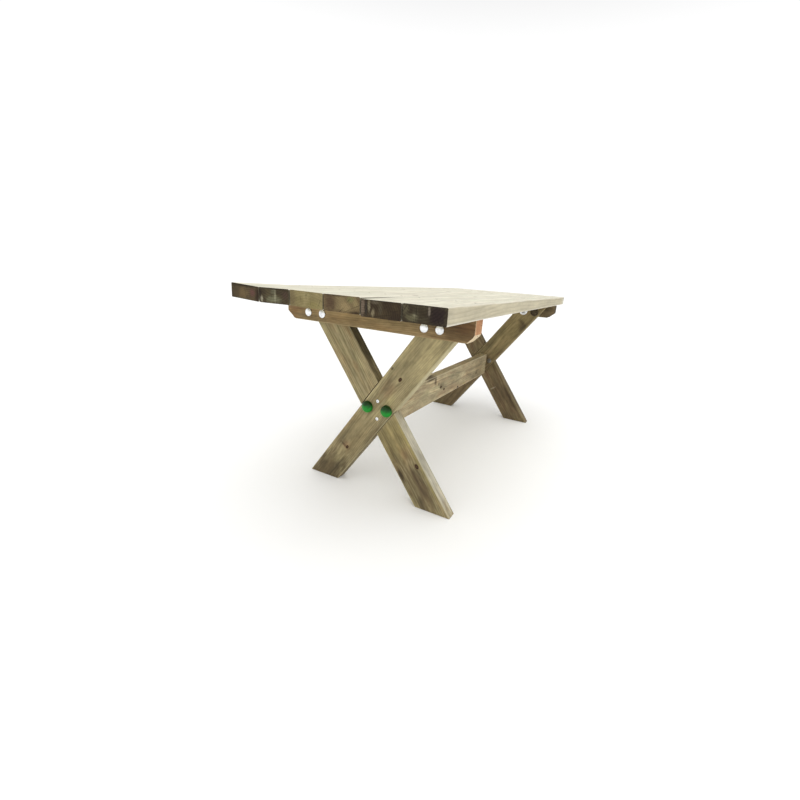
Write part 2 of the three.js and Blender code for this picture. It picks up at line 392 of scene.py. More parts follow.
class RingField:
    """The growth rings and knots of one board as sockets that its finishes share.

    The pattern is solid: it reads the place in the board, so that the rings of an end meet the
    lines of a face, as they do in sawn timber.
    """

    KNOT_REACH = 3.2  # how far a knot bends the grain, in its own radii
    KNOT_STRETCH = 1.5  # how much longer than wide a knot looks on a flat-sawn face
    KNOT_PUSH = 0.85  # how much of the way to the knot its rings are drawn
    INVERSE_E = 1 / math.e

    def __init__(self, tree: NodeTree, centre: Vector, turn: Euler, grain: Grain) -> None:
        """Adds the shared nodes.

        Args:
            tree: the material's node tree.
            centre: the board's middle.
            turn: the board's turn.
            grain: how the board was sawn.
        """
        self.tree = tree
        coordinates = add_node(tree, "TexCoord")
        self.place = add_node(
            tree, "Mapping", {"vector_type": "TEXTURE", "Location": centre, "Rotation": turn},
            {"Vector": coordinates.outputs["Object"]})
        drift = self.noise((2.4, 1.5, 2.4), (grain.seed, 3.1, 7.7), 1, 0.4)
        strayed = add_node(
            tree, "VectorMath", {"operation": "MULTIPLY_ADD", 1: (grain.wander * 2, 0, grain.wander)},
            {0: drift.outputs["Color"], 2: self.place})
        bent, self.knot = self._bend_round_knots(strayed, grain.knots)
        centred = add_node(
            tree, "VectorMath",
            {"operation": "MULTIPLY_ADD", 1: (1, 0, 1),
             2: (-grain.pith_across - grain.wander, 0, -grain.pith_above - grain.wander / 2)}, {0: bent})
        self.from_pith = centred
        distance = add_node(tree, "VectorMath", {"operation": "LENGTH"}, {0: centred})
        ripple = self.noise((70, 5, 70))
        rippled = add_node(
            tree, "Math", {"operation": "MULTIPLY_ADD", 1: 0.55 * grain.ring},
            {0: ripple, 2: distance.outputs["Value"]})
        self.age = add_node(tree, "Math", {"operation": "DIVIDE", 1: grain.ring}, {0: rippled})
        year = add_node(tree, "Math", {"operation": "FRACT"}, {0: self.age})
        self.late = add_node(
            tree, "ValToRGB",
            {"stops": [(0.0, (0.25,) * 3 + (1,)), (0.12, (0, 0, 0, 1)), (0.5, (0.12,) * 3 + (1,)),
                       (0.88, (1, 1, 1, 1)), (0.97, (0.8,) * 3 + (1,))]}, {0: year})

    def noise(self, scale: tuple[float, float, float], start: tuple[float, float, float] = (0, 0, 0),
              detail: float = 2, roughness: float = 0.5, distortion: float = 0, slant: float = 0) -> Node:
        """Adds a noise that is stretched along the board.

        Args:
            scale: features per metre across, along and through.
            start: where in the noise this board begins.
            detail: how many finer octaves it has.
            roughness: how strong they are.
            distortion: how far it is swirled.
            slant: its turn about the board's length.

        Returns:
            The noise node.
        """
        place = add_node(
            self.tree, "Mapping", {"Location": start, "Rotation": (0, slant, 0), "Scale": scale},
            {"Vector": self.place})
        return add_node(
            self.tree, "TexNoise",
            {"Scale": 1.0, "Detail": detail, "Roughness": roughness, "Distortion": distortion},
            {"Vector": place})

    def _bend_round_knots(self, place: Node,
                          knots: tuple[Knot, ...]) -> tuple[Node, Node | None]:
        """Bends the grain round each knot.

        Args:
            place: the node that gives the place in the board.
            knots: the board's knots.

        Returns:
            The bent place, and the squared distance to the nearest knot in knot radii, or None.
        """
        nearest = None
        bent = place
        for knot in knots:
            reach = knot.radius * self.KNOT_REACH
            away = add_node(
                self.tree, "VectorMath", {"operation": "SUBTRACT", 1: (knot.across, knot.along, 0)},
                {0: self.place})
            scaled = add_node(
                self.tree, "VectorMath",
                {"operation": "MULTIPLY", 1: (1 / reach, 1 / reach / self.KNOT_STRETCH, 0)}, {0: away})
            squared = add_node(
                self.tree, "VectorMath", {"operation": "DOT_PRODUCT"}, {0: scaled, 1: scaled})
            push = add_node(
                self.tree, "Math", {"operation": "POWER", 0: self.INVERSE_E}, {1: squared.outputs["Value"]})
            shift = add_node(self.tree, "VectorMath", {"operation": "SCALE"}, {0: away, "Scale": push})
            bent = add_node(
                self.tree, "VectorMath", {"operation": "MULTIPLY_ADD", 1: (-self.KNOT_PUSH, 0, 0)},
                {0: shift, 2: bent})
            in_radii = add_node(
                self.tree, "Math", {"operation": "MULTIPLY", 1: self.KNOT_REACH ** 2},
                {0: squared.outputs["Value"]})
            nearest = in_radii if nearest is None else add_node(
                self.tree, "Math", {"operation": "SMOOTH_MIN", 2: 0.3}, {0: nearest, 1: in_radii})
        return bent, nearest


def lay_stains(rings: RingField, colour: NodeSocket, stains: tuple[Stain, ...],
               on_end: bool = False) -> NodeSocket:
    """Lays ragged, soft-edged stains over a colour.

    Args:
        rings: the board's ring field.
        colour: the colour so far.
        stains: the stains, from the lowest to the uppermost.
        on_end: whether they lie on the sawn end rather than on the wide faces.

    Returns:
        The new colour.
    """
    if not stains:
        return colour
    tree = rings.tree
    ragged = rings.noise((110, 4, 110) if on_end else (75, 24, 75), detail=3)
    for stain in stains:
        middle = (stain.across, 0, stain.along) if on_end else (stain.across, stain.along, 0)
        lengthways = 1 / stain.half_length
        reach = (1 / stain.half_width, 0, lengthways) if on_end else (1 / stain.half_width, lengthways, 0)
        away = add_node(tree, "VectorMath", {"operation": "SUBTRACT", 1: middle}, {0: rings.place})
        scaled = add_node(tree, "VectorMath", {"operation": "MULTIPLY", 1: reach}, {0: away})
        near = add_node(tree, "VectorMath", {"operation": "LENGTH"}, {0: scaled})
        edge = add_node(tree, "Math", {"operation": "ADD"}, {0: near.outputs["Value"], 1: ragged})
        depth = add_node(
            tree, "MapRange",
            {"interpolation_type": "SMOOTHSTEP", "From Min": 1.75, "From Max": 0.75, "To Max": stain.depth},
            {0: edge})
        colour = add_node(
            tree, "Mix", {"data_type": "RGBA", 7: srgb(stain.colour)}, {0: depth, 6: colour}).outputs[2]
    return colour


@dataclass(frozen=True)
class TreatedPine:
    """Planed pine, pressure treated with a green copper salt and weathered a little.

    The eye gets a dry, matt surface with broad pale earlywood and narrow darker latewood, an olive
    cast that comes and goes, dark round knots, and paler arrises where the edges are rubbed.
    """

    name: str
    early: str
    late: str
    cast: str
    flush: str
    rubbed: str
    contrast: float = 0.5
    cast_depth: float = 0.45
    mottling: float = 1.0
    knot_depth: float = 1.0
    roughness: float = 0.74
    OCTAVES: ClassVar[float] = 0.6  # how strong the finer octaves of its noises are

    def material(self, board: "Board") -> Material:
        """Makes this finish for one board.

        Args:
            board: the board whose place, size and grain the pattern follows.

        Returns:
            The material.
        """
        material, tree = new_material(f"{self.name}, planed face of {board.name}")
        rings = RingField(tree, board.centre, board.turn, board.grain)
        seed = board.grain.seed
        patch = rings.noise((16, 5, 16), (4.2, 0, seed), 3, self.OCTAVES)
        resin = rings.noise((34, 7, 34), (1.1, seed, 2.3), 2, self.OCTAVES)
        depth = add_node(tree, "Math", {"operation": "MULTIPLY", 1: self.contrast}, {0: rings.late})
        wood = add_node(
            tree, "Mix", {"data_type": "RGBA", 6: srgb(self.early), 7: srgb(self.late)}, {0: depth})
        colour = wood.outputs[2]
        # The salt takes unevenly, in patches about 200 mm long, and resin flushes the wood warmer.
        for tint, noise, low, high, most in ((self.cast, patch, 0.4, 0.66, self.cast_depth),
                                             (self.flush, resin, 0.5, 0.72, 0.8 * self.mottling)):
            depth = add_node(
                tree, "MapRange", {"From Min": low, "From Max": high, "To Max": most}, {0: noise})
            colour = add_node(
                tree, "Mix", {"data_type": "RGBA", 7: srgb(tint)}, {0: depth, 6: colour}).outputs[2]
        stained = lay_stains(rings, colour, board.grain.stains)
        # Each noise with its spread and swing: latewood, bundles of fibres 2.5 mm across, bands
        # 14 mm across, clouds 40 mm across and dashes 8 by 33 mm.
        fibre = rings.noise((400, 9, 400), (seed, 0, 0), 3, self.OCTAVES)
        bands = rings.noise((70, 2, 70), (0, seed, 0), 1, self.OCTAVES)
        clouds = rings.noise((26, 8, 26), (seed, 5, 0), 4, self.OCTAVES)
        dashes = rings.noise((120, 30, 120), (0, 2, seed), 2, self.OCTAVES)
        shades = (
            (rings.late, 0.5, -0.07), (fibre, 0.25, 0.08), (bands, 0.2, 0.06 + 0.12 * self.mottling),
            (clouds, 0.2, 0.32 * self.mottling), (dashes, 0.2, 0.14 * self.mottling))
        grainy = None
        for noise, spread, swing in shades:
            shade = add_node(
                tree, "MapRange", {"From Min": 0.5 - spread, "From Max": 0.5 + spread,
                                   "To Min": 1.0 - swing, "To Max": 1.0 + swing}, {0: noise})
            grainy = shade if grainy is None else add_node(
                tree, "Math", {"operation": "MULTIPLY"}, {0: grainy, 1: shade})
        colour = add_node(
            tree, "VectorMath", {"operation": "SCALE"}, {0: stained, "Scale": grainy}).outputs["Vector"]
        colour = self._knots(rings, colour)
        colour = self._arris(rings, colour, patch, board)
        colour = self._dirty_sides(rings, colour, board)
        rough = add_node(
            tree, "MapRange", {"To Min": self.roughness - 0.1, "To Max": self.roughness + 0.14}, {0: fibre})
        relief = add_node(
            tree, "Math", {"operation": "MULTIPLY_ADD", 1: 0.55}, {0: rings.late, 2: fibre})
        bump = add_node(tree, "Bump", {"Strength": 0.6, "Distance": 0.35 * MM}, {"Height": relief})
        shader = add_node(
            tree, "BsdfPrincipled", {"IOR": 1.46, "Specular IOR Level": 0.32},
            {"Base Color": colour, "Roughness": rough, "Normal": bump})
        add_node(tree, "OutputMaterial", {}, {"Surface": shader})
        return material

    def _dirty_sides(self, rings: RingField, colour: NodeSocket, board: "Board") -> NodeSocket:
        """Darkens the narrow faces that stand in a gap, partly as grime and partly as painted shade.

        Args:
            rings: the board's ring field.
            colour: the colour so far.
            board: the board, which says which of its sides stand in a gap.

        Returns:
            The new colour.
        """
        tree = rings.tree
        if not board.grime_and_shade_sides:
            return colour
        axis = add_node(tree, "SeparateXYZ", {}, {0: rings.place}).outputs["X"]
        # Painted shade and grime: each side that stands in a gap is darkened towards the gap colour.
        for way in board.grime_and_shade_sides:
            edge = way * board.width / 2
            depth = add_node(
                tree, "MapRange", {"From Min": edge - way * 1.3 * MM, "From Max": edge - way * 0.5 * MM,
                                   "To Max": 0.9}, {0: axis})
            colour = add_node(
                tree, "Mix", {"data_type": "RGBA", 7: srgb(GAP_GRIME_AND_SHADE)}, {0: depth, 6: colour}).outputs[2]
        return colour

    def _knots(self, rings: RingField, colour: NodeSocket) -> NodeSocket:
        """Lays the knots over a colour: a brown heart in a nearly black bark line.

        Args:
            rings: the board's ring field.
            colour: the colour so far.

        Returns:
            The new colour.
        """
        if rings.knot is None:
            return colour
        tree = rings.tree
        heart, ring, bark, halo = (srgb(code) for code in ("#4E3620", "#3C2815", "#241609", "#7A5C36"))
        ramp = add_node(
            tree, "ValToRGB",
            {"stops": [(0.0, heart), (0.16, ring), (0.3, bark), (0.42, bark[:3] + (0.85,)),
                       (0.52, halo[:3] + (0.45,)), (0.95, halo[:3] + (0.0,))]},
            {0: add_node(tree, "Math", {"operation": "MULTIPLY", 1: 0.36}, {0: rings.knot})})
        depth = add_node(
            tree, "Math", {"operation": "MULTIPLY", 1: self.knot_depth}, {0: ramp.outputs["Alpha"]})
        return add_node(tree, "Mix", {"data_type": "RGBA"}, {0: depth, 6: colour, 7: ramp}).outputs[2]

    def _arris(self, rings: RingField, colour: NodeSocket, patch: Node, board: "Board") -> NodeSocket:
        """Rubs the long edges paler, more in some stretches than in others.

        Args:
            rings: the board's ring field.
            colour: the colour so far.
            patch: a slow noise that breaks the wear up.
            board: the board whose edges they are.

        Returns:
            The new colour.
        """
        tree = rings.tree
        away = add_node(tree, "VectorMath", {"operation": "ABSOLUTE"}, {0: rings.place})
        place = add_node(tree, "SeparateXYZ", {}, {0: away})
        reach = 5 * MM
        masks = [
            add_node(tree, "MapRange", {"From Min": half - reach, "From Max": half - 0.6 * MM}, {0: axis})
            for half, axis in ((board.width / 2, place.outputs["X"]),
                               (board.thickness / 2, place.outputs["Z"]))]
        corner = add_node(tree, "Math", {"operation": "MULTIPLY"}, {0: masks[0], 1: masks[1]})
        worn = add_node(
            tree, "MapRange", {"From Min": 0.3, "From Max": 0.6, "To Min": 0.35, "To Max": 1.0},
            {0: patch})
        depth = add_node(tree, "Math", {"operation": "MULTIPLY"}, {0: corner, 1: worn})
        return add_node(
            tree, "Mix", {"data_type": "RGBA", 7: srgb(self.rubbed)}, {0: depth, 6: colour}).outputs[2]


@dataclass(frozen=True)
class SawnEnd:
    """Pine sawn across the grain, which drinks the salt and the rain and turns dark.

    The eye gets a dull, rough face with the year rings as arcs, blotches of two colours, fine
    radial cracks and the faint lines of a circular saw.
    """

    name: str
    ground: str
    figure: str
    share: float = 0.5
    stains: tuple[Stain, ...] = ()
    ring_depth: float = 0.22

    def material(self, board: "Board") -> Material:
        """Makes this finish for one board.

        Args:
            board: the board whose place and grain the pattern follows.

        Returns:
            The material.
        """
        material, tree = new_material(f"{self.name}, sawn end of {board.name}")
        rings = RingField(tree, board.centre, board.turn, board.grain)
        blotch = rings.noise((26, 6, 34), (board.grain.seed, 0, 1.7), 3, 0.55, 0.6)
        low = 0.62 - 0.24 * self.share
        mask = add_node(
            tree, "MapRange",
            {"interpolation_type": "SMOOTHSTEP", "From Min": low - 0.16, "From Max": low + 0.16},
            {0: blotch})
        base = add_node(
            tree, "Mix", {"data_type": "RGBA", 6: srgb(self.ground), 7: srgb(self.figure)},
            {0: mask}).outputs[2]
        base = lay_stains(rings, base, self.stains, on_end=True)
        shade = add_node(
            tree, "MapRange", {"To Min": 1.0 + self.ring_depth / 2, "To Max": 1.0 - self.ring_depth},
            {0: rings.late})
        speckle = rings.noise((500, 60, 500))
        dotted = add_node(
            tree, "MapRange", {"From Min": 0.3, "From Max": 0.7, "To Min": 0.78, "To Max": 1.22},
            {0: speckle})
        value = add_node(tree, "Math", {"operation": "MULTIPLY"}, {0: shade, 1: dotted})
        colour = add_node(
            tree, "VectorMath", {"operation": "SCALE"}, {0: base, "Scale": value}).outputs["Vector"]
        crack = self._cracks(rings, board.grain)
        colour = add_node(
            tree, "Mix", {"data_type": "RGBA", 7: srgb(CRACK_DARK)}, {0: crack, 6: colour}).outputs[2]
        # Saw lines every 2 mm or so, slightly aslant.
        kerf = rings.noise((480, 1, 14), detail=1, slant=math.radians(17))
        rough_height = add_node(tree, "Math", {"operation": "ADD"}, {0: kerf, 1: speckle})
        height = add_node(tree, "Math", {"operation": "SUBTRACT"}, {0: rough_height, 1: crack})
        bump = add_node(tree, "Bump", {"Strength": 0.8, "Distance": 0.5 * MM}, {"Height": height})
        shader = add_node(
            tree, "BsdfPrincipled", {"IOR": 1.46, "Specular IOR Level": 0.2, "Roughness": 0.9},
            {"Base Color": colour, "Normal": bump})
        add_node(tree, "OutputMaterial", {}, {"Surface": shader})
        return material

    def _cracks(self, rings: RingField, grain: Grain) -> Node:
        """Draws fine cracks that run out from the pith.

        Args:
            rings: the board's ring field.
            grain: the board's grain.

        Returns:
            The node that gives the cracks' mask.
        """
        tree = rings.tree
        place = add_node(tree, "SeparateXYZ", {}, {0: rings.from_pith})
        angle = add_node(
            tree, "Math", {"operation": "ARCTAN2"}, {0: place.outputs["Z"], 1: place.outputs["X"]})
        polar = add_node(tree, "CombineXYZ", {"Z": grain.seed}, {0: angle, 1: rings.age})
        spread = add_node(tree, "Mapping", {"Scale": (26, 0.09, 1)}, {"Vector": polar})
        noise = add_node(tree, "TexNoise", {"Scale": 1.0, "Detail": 1.0}, {"Vector": spread})
        return add_node(
            tree, "MapRange",
            {"interpolation_type": "SMOOTHSTEP", "From Min": 0.68, "From Max": 0.74, "To Max": 0.85},
            {0: noise})


# --------------------------------------------------------------------- metal and plastic finishes


@dataclass(frozen=True)
class BrightZinc:
    """Steel with bright zinc plate, as on coach bolts.

    The eye gets a pale, slightly blue metal whose mirror is softened by plating grain, with duller
    clouds where it was handled.
    """

    name: str = "bright zinc-plated steel"
    clean: str = "#F4F5F6"
    dull: str = "#CBCED2"
    roughness: float = 0.26

    def material(self) -> Material:
        """Makes the finish."""
        material, tree = new_material(self.name)
        coordinates = add_node(tree, "TexCoord")
        # Clouds about 8 mm across, plating grain about 0.6 mm.
        cloud = add_node(
            tree, "TexNoise", {"Scale": 120.0, "Detail": 4.0, "Roughness": 0.6},
            {"Vector": coordinates.outputs["Object"]})
        grain = add_node(
            tree, "TexNoise", {"Scale": 1600.0, "Detail": 2.0}, {"Vector": coordinates.outputs["Object"]})
        handled = add_node(tree, "MapRange", {"From Min": 0.42, "From Max": 0.72}, {0: cloud})
        colour = add_node(
            tree, "Mix", {"data_type": "RGBA", 6: srgb(self.clean), 7: srgb(self.dull)}, {0: handled})
        rough = add_node(
            tree, "MapRange", {"To Min": self.roughness - 0.08, "To Max": self.roughness + 0.14},
            {0: cloud})
        bump = add_node(tree, "Bump", {"Strength": 0.25, "Distance": 0.08 * MM}, {"Height": grain})
        shader = add_node(
            tree, "BsdfPrincipled", {"Metallic": 1.0},
            {"Base Color": colour.outputs[2], "Roughness": rough, "Normal": bump})
        add_node(tree, "OutputMaterial", {}, {"Surface": shader})
        return material


@dataclass(frozen=True)
class MouldedPlastic:
    """Injection-moulded polypropylene, coloured through.

    The eye gets a saturated satin green with a fine spark-eroded texture, faint flow marks, scuffs
    that have gone paler, and painted shade that darkens the upper half with a ragged edge.
    """

    name: str = "moulded green polypropylene"
    body: str = "#10932A"
    flow: str = "#0B7A1F"
    scuff: str = "#4FA85C"
    # The near-black green of the painted shade on the upper half.
    dirt: str = "#0E2606"

    def material(self, height: float) -> Material:
        """Makes the finish.

        Args:
            height: how high above the ground the middle of each piece is.

        Returns:
            The material.
        """
        material, tree = new_material(self.name)
        coordinates = add_node(tree, "TexCoord")
        # Flow marks about 20 mm long, texture about 0.5 mm, scuffs a millimetre wide.
        flow = add_node(
            tree, "TexNoise", {"Scale": 55.0, "Detail": 2.0, "Distortion": 0.6},
            {"Vector": coordinates.outputs["Object"]})
        spark = add_node(
            tree, "TexNoise", {"Scale": 2000.0, "Detail": 1.0}, {"Vector": coordinates.outputs["Object"]})
        scratch_place = add_node(
            tree, "Mapping", {"Rotation": (0.4, 0.3, 0.5), "Scale": (900, 60, 900)},
            {"Vector": coordinates.outputs["Object"]})
        scratch = add_node(tree, "TexNoise", {"Scale": 1.0, "Detail": 3.0}, {"Vector": scratch_place})
        scuffed = add_node(
            tree, "MapRange", {"From Min": 0.66, "From Max": 0.78, "To Max": 0.5}, {0: scratch})
        body = add_node(
            tree, "Mix", {"data_type": "RGBA", 6: srgb(self.body), 7: srgb(self.flow)}, {0: flow})
        colour = add_node(
            tree, "Mix", {"data_type": "RGBA", 7: srgb(self.scuff)}, {0: scuffed, 6: body.outputs[2]})
        # Painted shade: above the middle of each piece the green darkens, with a ragged edge, standing in
        # for the shade under the table top.
        level = add_node(tree, "SeparateXYZ", {}, {0: coordinates.outputs["Object"]}).outputs["Z"]
        ragged = add_node(tree, "Math", {"operation": "MULTIPLY_ADD", 1: 16 * MM, 2: -8 * MM}, {0: flow})
        ragged_level = add_node(tree, "Math", {"operation": "ADD"}, {0: level, 1: ragged})
        shade_depth = add_node(
            tree, "MapRange", {"interpolation_type": "SMOOTHSTEP", "From Min": height - 9 * MM,
                               "From Max": height + 14 * MM, "To Max": 0.9}, {0: ragged_level})
        shaded_colour = add_node(
            tree, "Mix", {"data_type": "RGBA", 7: srgb(self.dirt)}, {0: shade_depth, 6: colour.outputs[2]})
        rough = add_node(tree, "MapRange", {"To Min": 0.28, "To Max": 0.44}, {0: flow})
        bump = add_node(tree, "Bump", {"Strength": 0.2, "Distance": 0.05 * MM}, {"Height": spark})
        shader = add_node(
            tree, "BsdfPrincipled", {"IOR": 1.49, "Specular IOR Level": 0.3},
            {"Base Color": shaded_colour.outputs[2], "Roughness": rough, "Normal": bump})
        add_node(tree, "OutputMaterial", {}, {"Surface": shader})
        return material


# ------------------------------------------------------------------------------------ pieces


def middle_of(node: str) -> Vector:
    """The middle of a CAD node's box."""
    return sum(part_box(node), Vector()) / 2


def hand_over(piece: Object, body: str, node: str | None = None) -> None:
    """Args:
        piece: the finished object, at the origin.
        body: the CAD body it moves with.
        node: the CAD node it replaces, if any.
    """
    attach(piece, body)
    if node is not None:
        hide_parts(node)
    LOG.info("%s: %d faces, rides on %s", piece.name, len(piece.data.polygons), body)


def place_copy(model: Object, name: str, place: Vector, turn: Euler) -> Object:
    """Copies a modelled piece, with a mesh of its own, and settles the copy in its place.

    Args:
        model: the piece as modelled, at the origin.
        name: the copy's name.
        place: where its origin goes.
        turn: how it is turned.

    Returns:
        The copy, its place in its mesh.
    """
    make_active(model)
    bpy.ops.object.duplicate(linked=False)
    copy = bpy.context.object
    copy.name = copy.data.name = name
    copy.location = place
    copy.rotation_euler = turn
    settle(copy)
    return copy


@dataclass
class Board:
    """A length of planed timber with eased arrises and sawn ends.

    It is blanked lying along its own Y, warped as dried timber is, cut, dressed and put in place.
    Its gap sides are the signs of the sides that stand in a gap, which are darkened partly with
    grime and partly with painted shade, and twist is how far it has turned from end to end.
    """

    name: str
    node: str
    slot: str
    centre: Vector
    turn: Euler
    width: float
    length: float
    thickness: float
    grain: Grain
    face: TreatedPine
    end: SawnEnd
    arris: float = BOARD_ARRIS
    grime_and_shade_sides: tuple[int, ...] = ()
    twist: float = 0.0
    unevenness: float = 0.5 * MM
    end_limit: float = 0.6  # a face is a sawn end where its normal's part along the grain is more

    def build(self) -> None:
        """Makes the board, dresses it and hands it over."""
        board = self._blank()
        self._warp(board)
        self.cut(board)
        self._dress(board)
        settle(board)
        smooth(board)
        hand_over(board, TABLE_BODY, self.node)

    def cut(self, board: Object) -> None:
        """Makes the cuts that this kind of board has. A plain board has none."""

    def _blank(self) -> Object:
        """Planes the blank: a cube at size, arrises rounded, sliced so that it can warp.

        Returns:
            The board, still at its own place and turn.
        """
        board = block(self.name, self.centre, Vector((self.width, self.length, self.thickness)), self.turn)
        edge = self.length / 2 - TINY
        edit(board)
        select_edges(board, lambda a, b: abs(a.y - b.y) > TINY)
        bpy.ops.mesh.bevel(offset=self.arris, segments=4, affect="EDGES")
        select_edges(board, lambda a, b: abs(a.x - b.x) > self.width / 2)
        bpy.ops.mesh.subdivide(number_cuts=7)
        select_edges(board, lambda a, b: abs(a.z - b.z) > self.thickness / 2)
        bpy.ops.mesh.subdivide(number_cuts=2)
        select_edges(board, lambda a, b: abs(a.y - b.y) > TINY)
        bpy.ops.mesh.subdivide(number_cuts=max(2, round(self.length / SEGMENT)))
        select_edges(board, lambda a, b: min(abs(a.y), abs(b.y)) > edge and abs(a.y - b.y) < TINY
                     and self._on_rim(a) and self._on_rim(b))
        bpy.ops.mesh.bevel(offset=END_EASING, segments=1, affect="EDGES")
        deselect()
        return board

    def _on_rim(self, point: Vector) -> bool:
        """Whether a point of the blank lies on its outline as seen along its length."""
        return (abs(point.x) > self.width / 2 - self.arris - TINY
                or abs(point.z) > self.thickness / 2 - self.arris - TINY)

    def _warp(self, board: Object) -> None:
        """Twists the blank and makes its faces a little uneven.

        Args:
            board: the blank.
        """
        if self.twist:
            apply_modifier(board, "SIMPLE_DEFORM", deform_method="TWIST", deform_axis="Y", angle=self.twist)
        for size, depth in ((0.35, self.unevenness), (0.05, 0.4 * self.unevenness)):
            texture = bpy.data.textures.new(f"{self.name} unevenness", "CLOUDS")
            texture.noise_scale = size
            apply_modifier(
                board, "DISPLACE", texture=texture, texture_coords="GLOBAL", direction="NORMAL",
                strength=depth, mid_level=0.75)

    def _dress(self, board: Object) -> None:
        """Gives the faces along the grain and the ends across it their finishes.

        Args:
            board: the board, still in its own coordinates.
        """
        board.data.materials.clear()
        board.data.materials.append(self.face.material(self))
        board.data.materials.append(self.end.material(self))
        for polygon in board.data.polygons:
            polygon.material_index = int(abs(polygon.normal.y) > self.end_limit)

    def season_check(self, board: Object, across: float, along: float, length: float) -> None:
        """Opens a drying crack in the upper face.

        Args:
            board: the board.
            across: where the crack's middle lies on the width.
            along: where it lies on the length.
            length: how long it is.
        """
        width, depth = 1.3 * MM, 5 * MM
        to_world = Matrix.LocRotScale(self.centre, self.turn, None)
        middle = to_world @ Vector((across, along, self.thickness / 2))
        crack = block("crack", middle, Vector((width, length, depth)), self.turn)
        edit(crack)
        select_edges(crack, lambda a, b: abs(a.y - b.y) > length / 2)
        bpy.ops.mesh.subdivide(number_cuts=5)
        for reach, share in ((0.45, 0.12), (0.3, 0.6)):
            for way in (-1, 1):
                select_edges(crack, lambda a, b: min(way * a.y, way * b.y) > reach * length)
                end = to_world @ Vector((across, along + way * reach * length, self.thickness / 2))
                bpy.ops.transform.resize(
                    value=(share, 1, share), orient_type="LOCAL", center_override=end)
        deselect()
        carve(board, crack)


@dataclass
class Plank(Board):
    """One board of the top, with countersunk holes for its screws and a few season checks."""

    screw_places: tuple[Vector, ...] = ()
    screw_head: float = 9.4 * MM
    checks: tuple[tuple[float, float, float], ...] = ()
    lifts: tuple[float, float] = (0.0, 0.0)  # at the near end, of the left and the right edge
    free_end: float = 225 * MM
    lift_steps: int = 8
    sink_depth: float = 0.9 * MM

    def _warp(self, board: Object) -> None:
        """Warps the blank as any board, and turns its free near end up or down."""
        super()._warp(board)
        left, right = self.lifts
        lean = math.atan2(right - left, self.width)
        edit(board)
        for step in range(self.lift_steps):
            station = -self.length / 2 + self.free_end * (1 - (step + 0.5) / self.lift_steps)
            select_edges(board, lambda a, b: max(a.y, b.y) < station)
            bpy.ops.transform.rotate(
                value=lean / self.lift_steps, orient_axis="Y", center_override=self.centre)
            bpy.ops.transform.translate(value=(0, 0, (left + right) / 2 / self.lift_steps))
        deselect()

    def cut(self, board: Object) -> None:
        """Bores and countersinks the screw holes and opens the checks."""
        for place in self.screw_places:
            sink = turned(
                "countersink",
                [(0.9 * self.screw_head / 2, -self.screw_head / 2.3), (self.screw_head / 2, 0),
                 (self.screw_head / 2 + 0.3 * MM, 3 * MM)], 20)
            sink.location = place - self.sink_depth * UP
            carve(board, sink)
        for across, along, length in self.checks:
            self.season_check(board, across, along, length)


@dataclass
class Bearer(Board):
    """The cross bar under the planks: both lower corners sawn off and four bolt holes.

    Each corner is given by the sign of its end and by its width and height.
    """

    corners: tuple[tuple[int, float, float], ...] = ()
    end_limit: float = 0.5
    bolt_places: tuple[Vector, ...] = ()
    chamfer: SawnEnd | None = None
    corner_limit: float = 0.9  # and a sawn-off corner where it is less than this

    def cut(self, board: Object) -> None:
        """Saws the lower corners off and bores the bolt holes."""
        low = self.centre.z - self.width / 2
        edit(board)
        for way, width, height in self.corners:
            corner = Vector((self.centre.x + way * (self.length / 2 - width), self.centre.y, low))
            bpy.ops.mesh.select_all(action="SELECT")
            bpy.ops.mesh.bisect(
                plane_co=corner, plane_no=(way * height, 0, -width), use_fill=True, clear_outer=True)
        deselect()
        for place in self.bolt_places:
            carve(board, rod(place, BOLT_BORE, 2 * self.thickness))

    def _dress(self, board: Object) -> None:
        """Dresses the bearer as any board, and gives its sawn-off corners a finish of their own."""
        super()._dress(board)
        if self.chamfer is None:
            return
        # The sawn-off corners get the chamfer finish, on the near bearer a paler copy of its sawn end:
        # painted light.
        board.data.materials.append(self.chamfer.material(self))
        for polygon in board.data.polygons:
            if self.end_limit < abs(polygon.normal.y) < self.corner_limit:
                polygon.material_index = 2


@dataclass
class Leg(Board):
    """A slanting leg, cut level at both ends, halved where it crosses its partner, and bored."""

    foot: float = 0.0
    head: float = 0.7
    partner_turn: Euler = field(default_factory=Euler)
    crossing: Vector = field(default_factory=Vector)
    notch_side: Vector = field(default_factory=Vector)
    bolt_places: tuple[Vector, ...] = ()
    screw_places: tuple[Vector, ...] = ()
    screw_bore: float = 6.4 * MM
    outward: Vector = field(default_factory=Vector)
    screw_head: float = 12.9 * MM
    screw_sink: float = 1.6 * MM
    toe_rounding: float = 1.6 * MM

    def cut(self, board: Object) -> None:
        """Levels the ends, saws the half lap and bores the holes."""
        edit(board)
        for height, way in ((self.foot, -1), (self.head, 1)):
            bpy.ops.mesh.select_all(action="SELECT")
            bpy.ops.mesh.bisect(
                plane_co=(0, 0, height), plane_no=(0, 0, way), use_fill=True, clear_outer=True)
        to_world = board.matrix_world.copy()
        select_edges(board, lambda a, b: all(
            abs((to_world @ end).z - self.foot) < 5 * TINY for end in (a, b)))
        bpy.ops.mesh.bevel(offset=self.toe_rounding, segments=2, affect="EDGES")
        deselect()
        self._saw_half_lap(board)
        for place in self.bolt_places:
            carve(board, rod(place, BOLT_BORE, 2 * self.thickness))
        for place in self.screw_places:
            carve(board, rod(place, self.screw_bore, 2 * self.thickness, 20))
            face = Vector((place.x, self.centre.y + self.outward.y * self.thickness / 2, place.z))
            carve(board, rod(face, self.screw_head, self.screw_sink, 24))

    def _saw_half_lap(self, board: Object) -> None:
        """Cuts half the thickness away where the partner passes."""
        size = Vector((self.width + 2 * LAP_PLAY, 4 * self.width, self.thickness))
        middle = Vector((self.crossing.x, self.centre.y, self.crossing.z))
        middle += self.notch_side * self.thickness / 2
        carve(board, block("half_lap", middle, size, self.partner_turn))


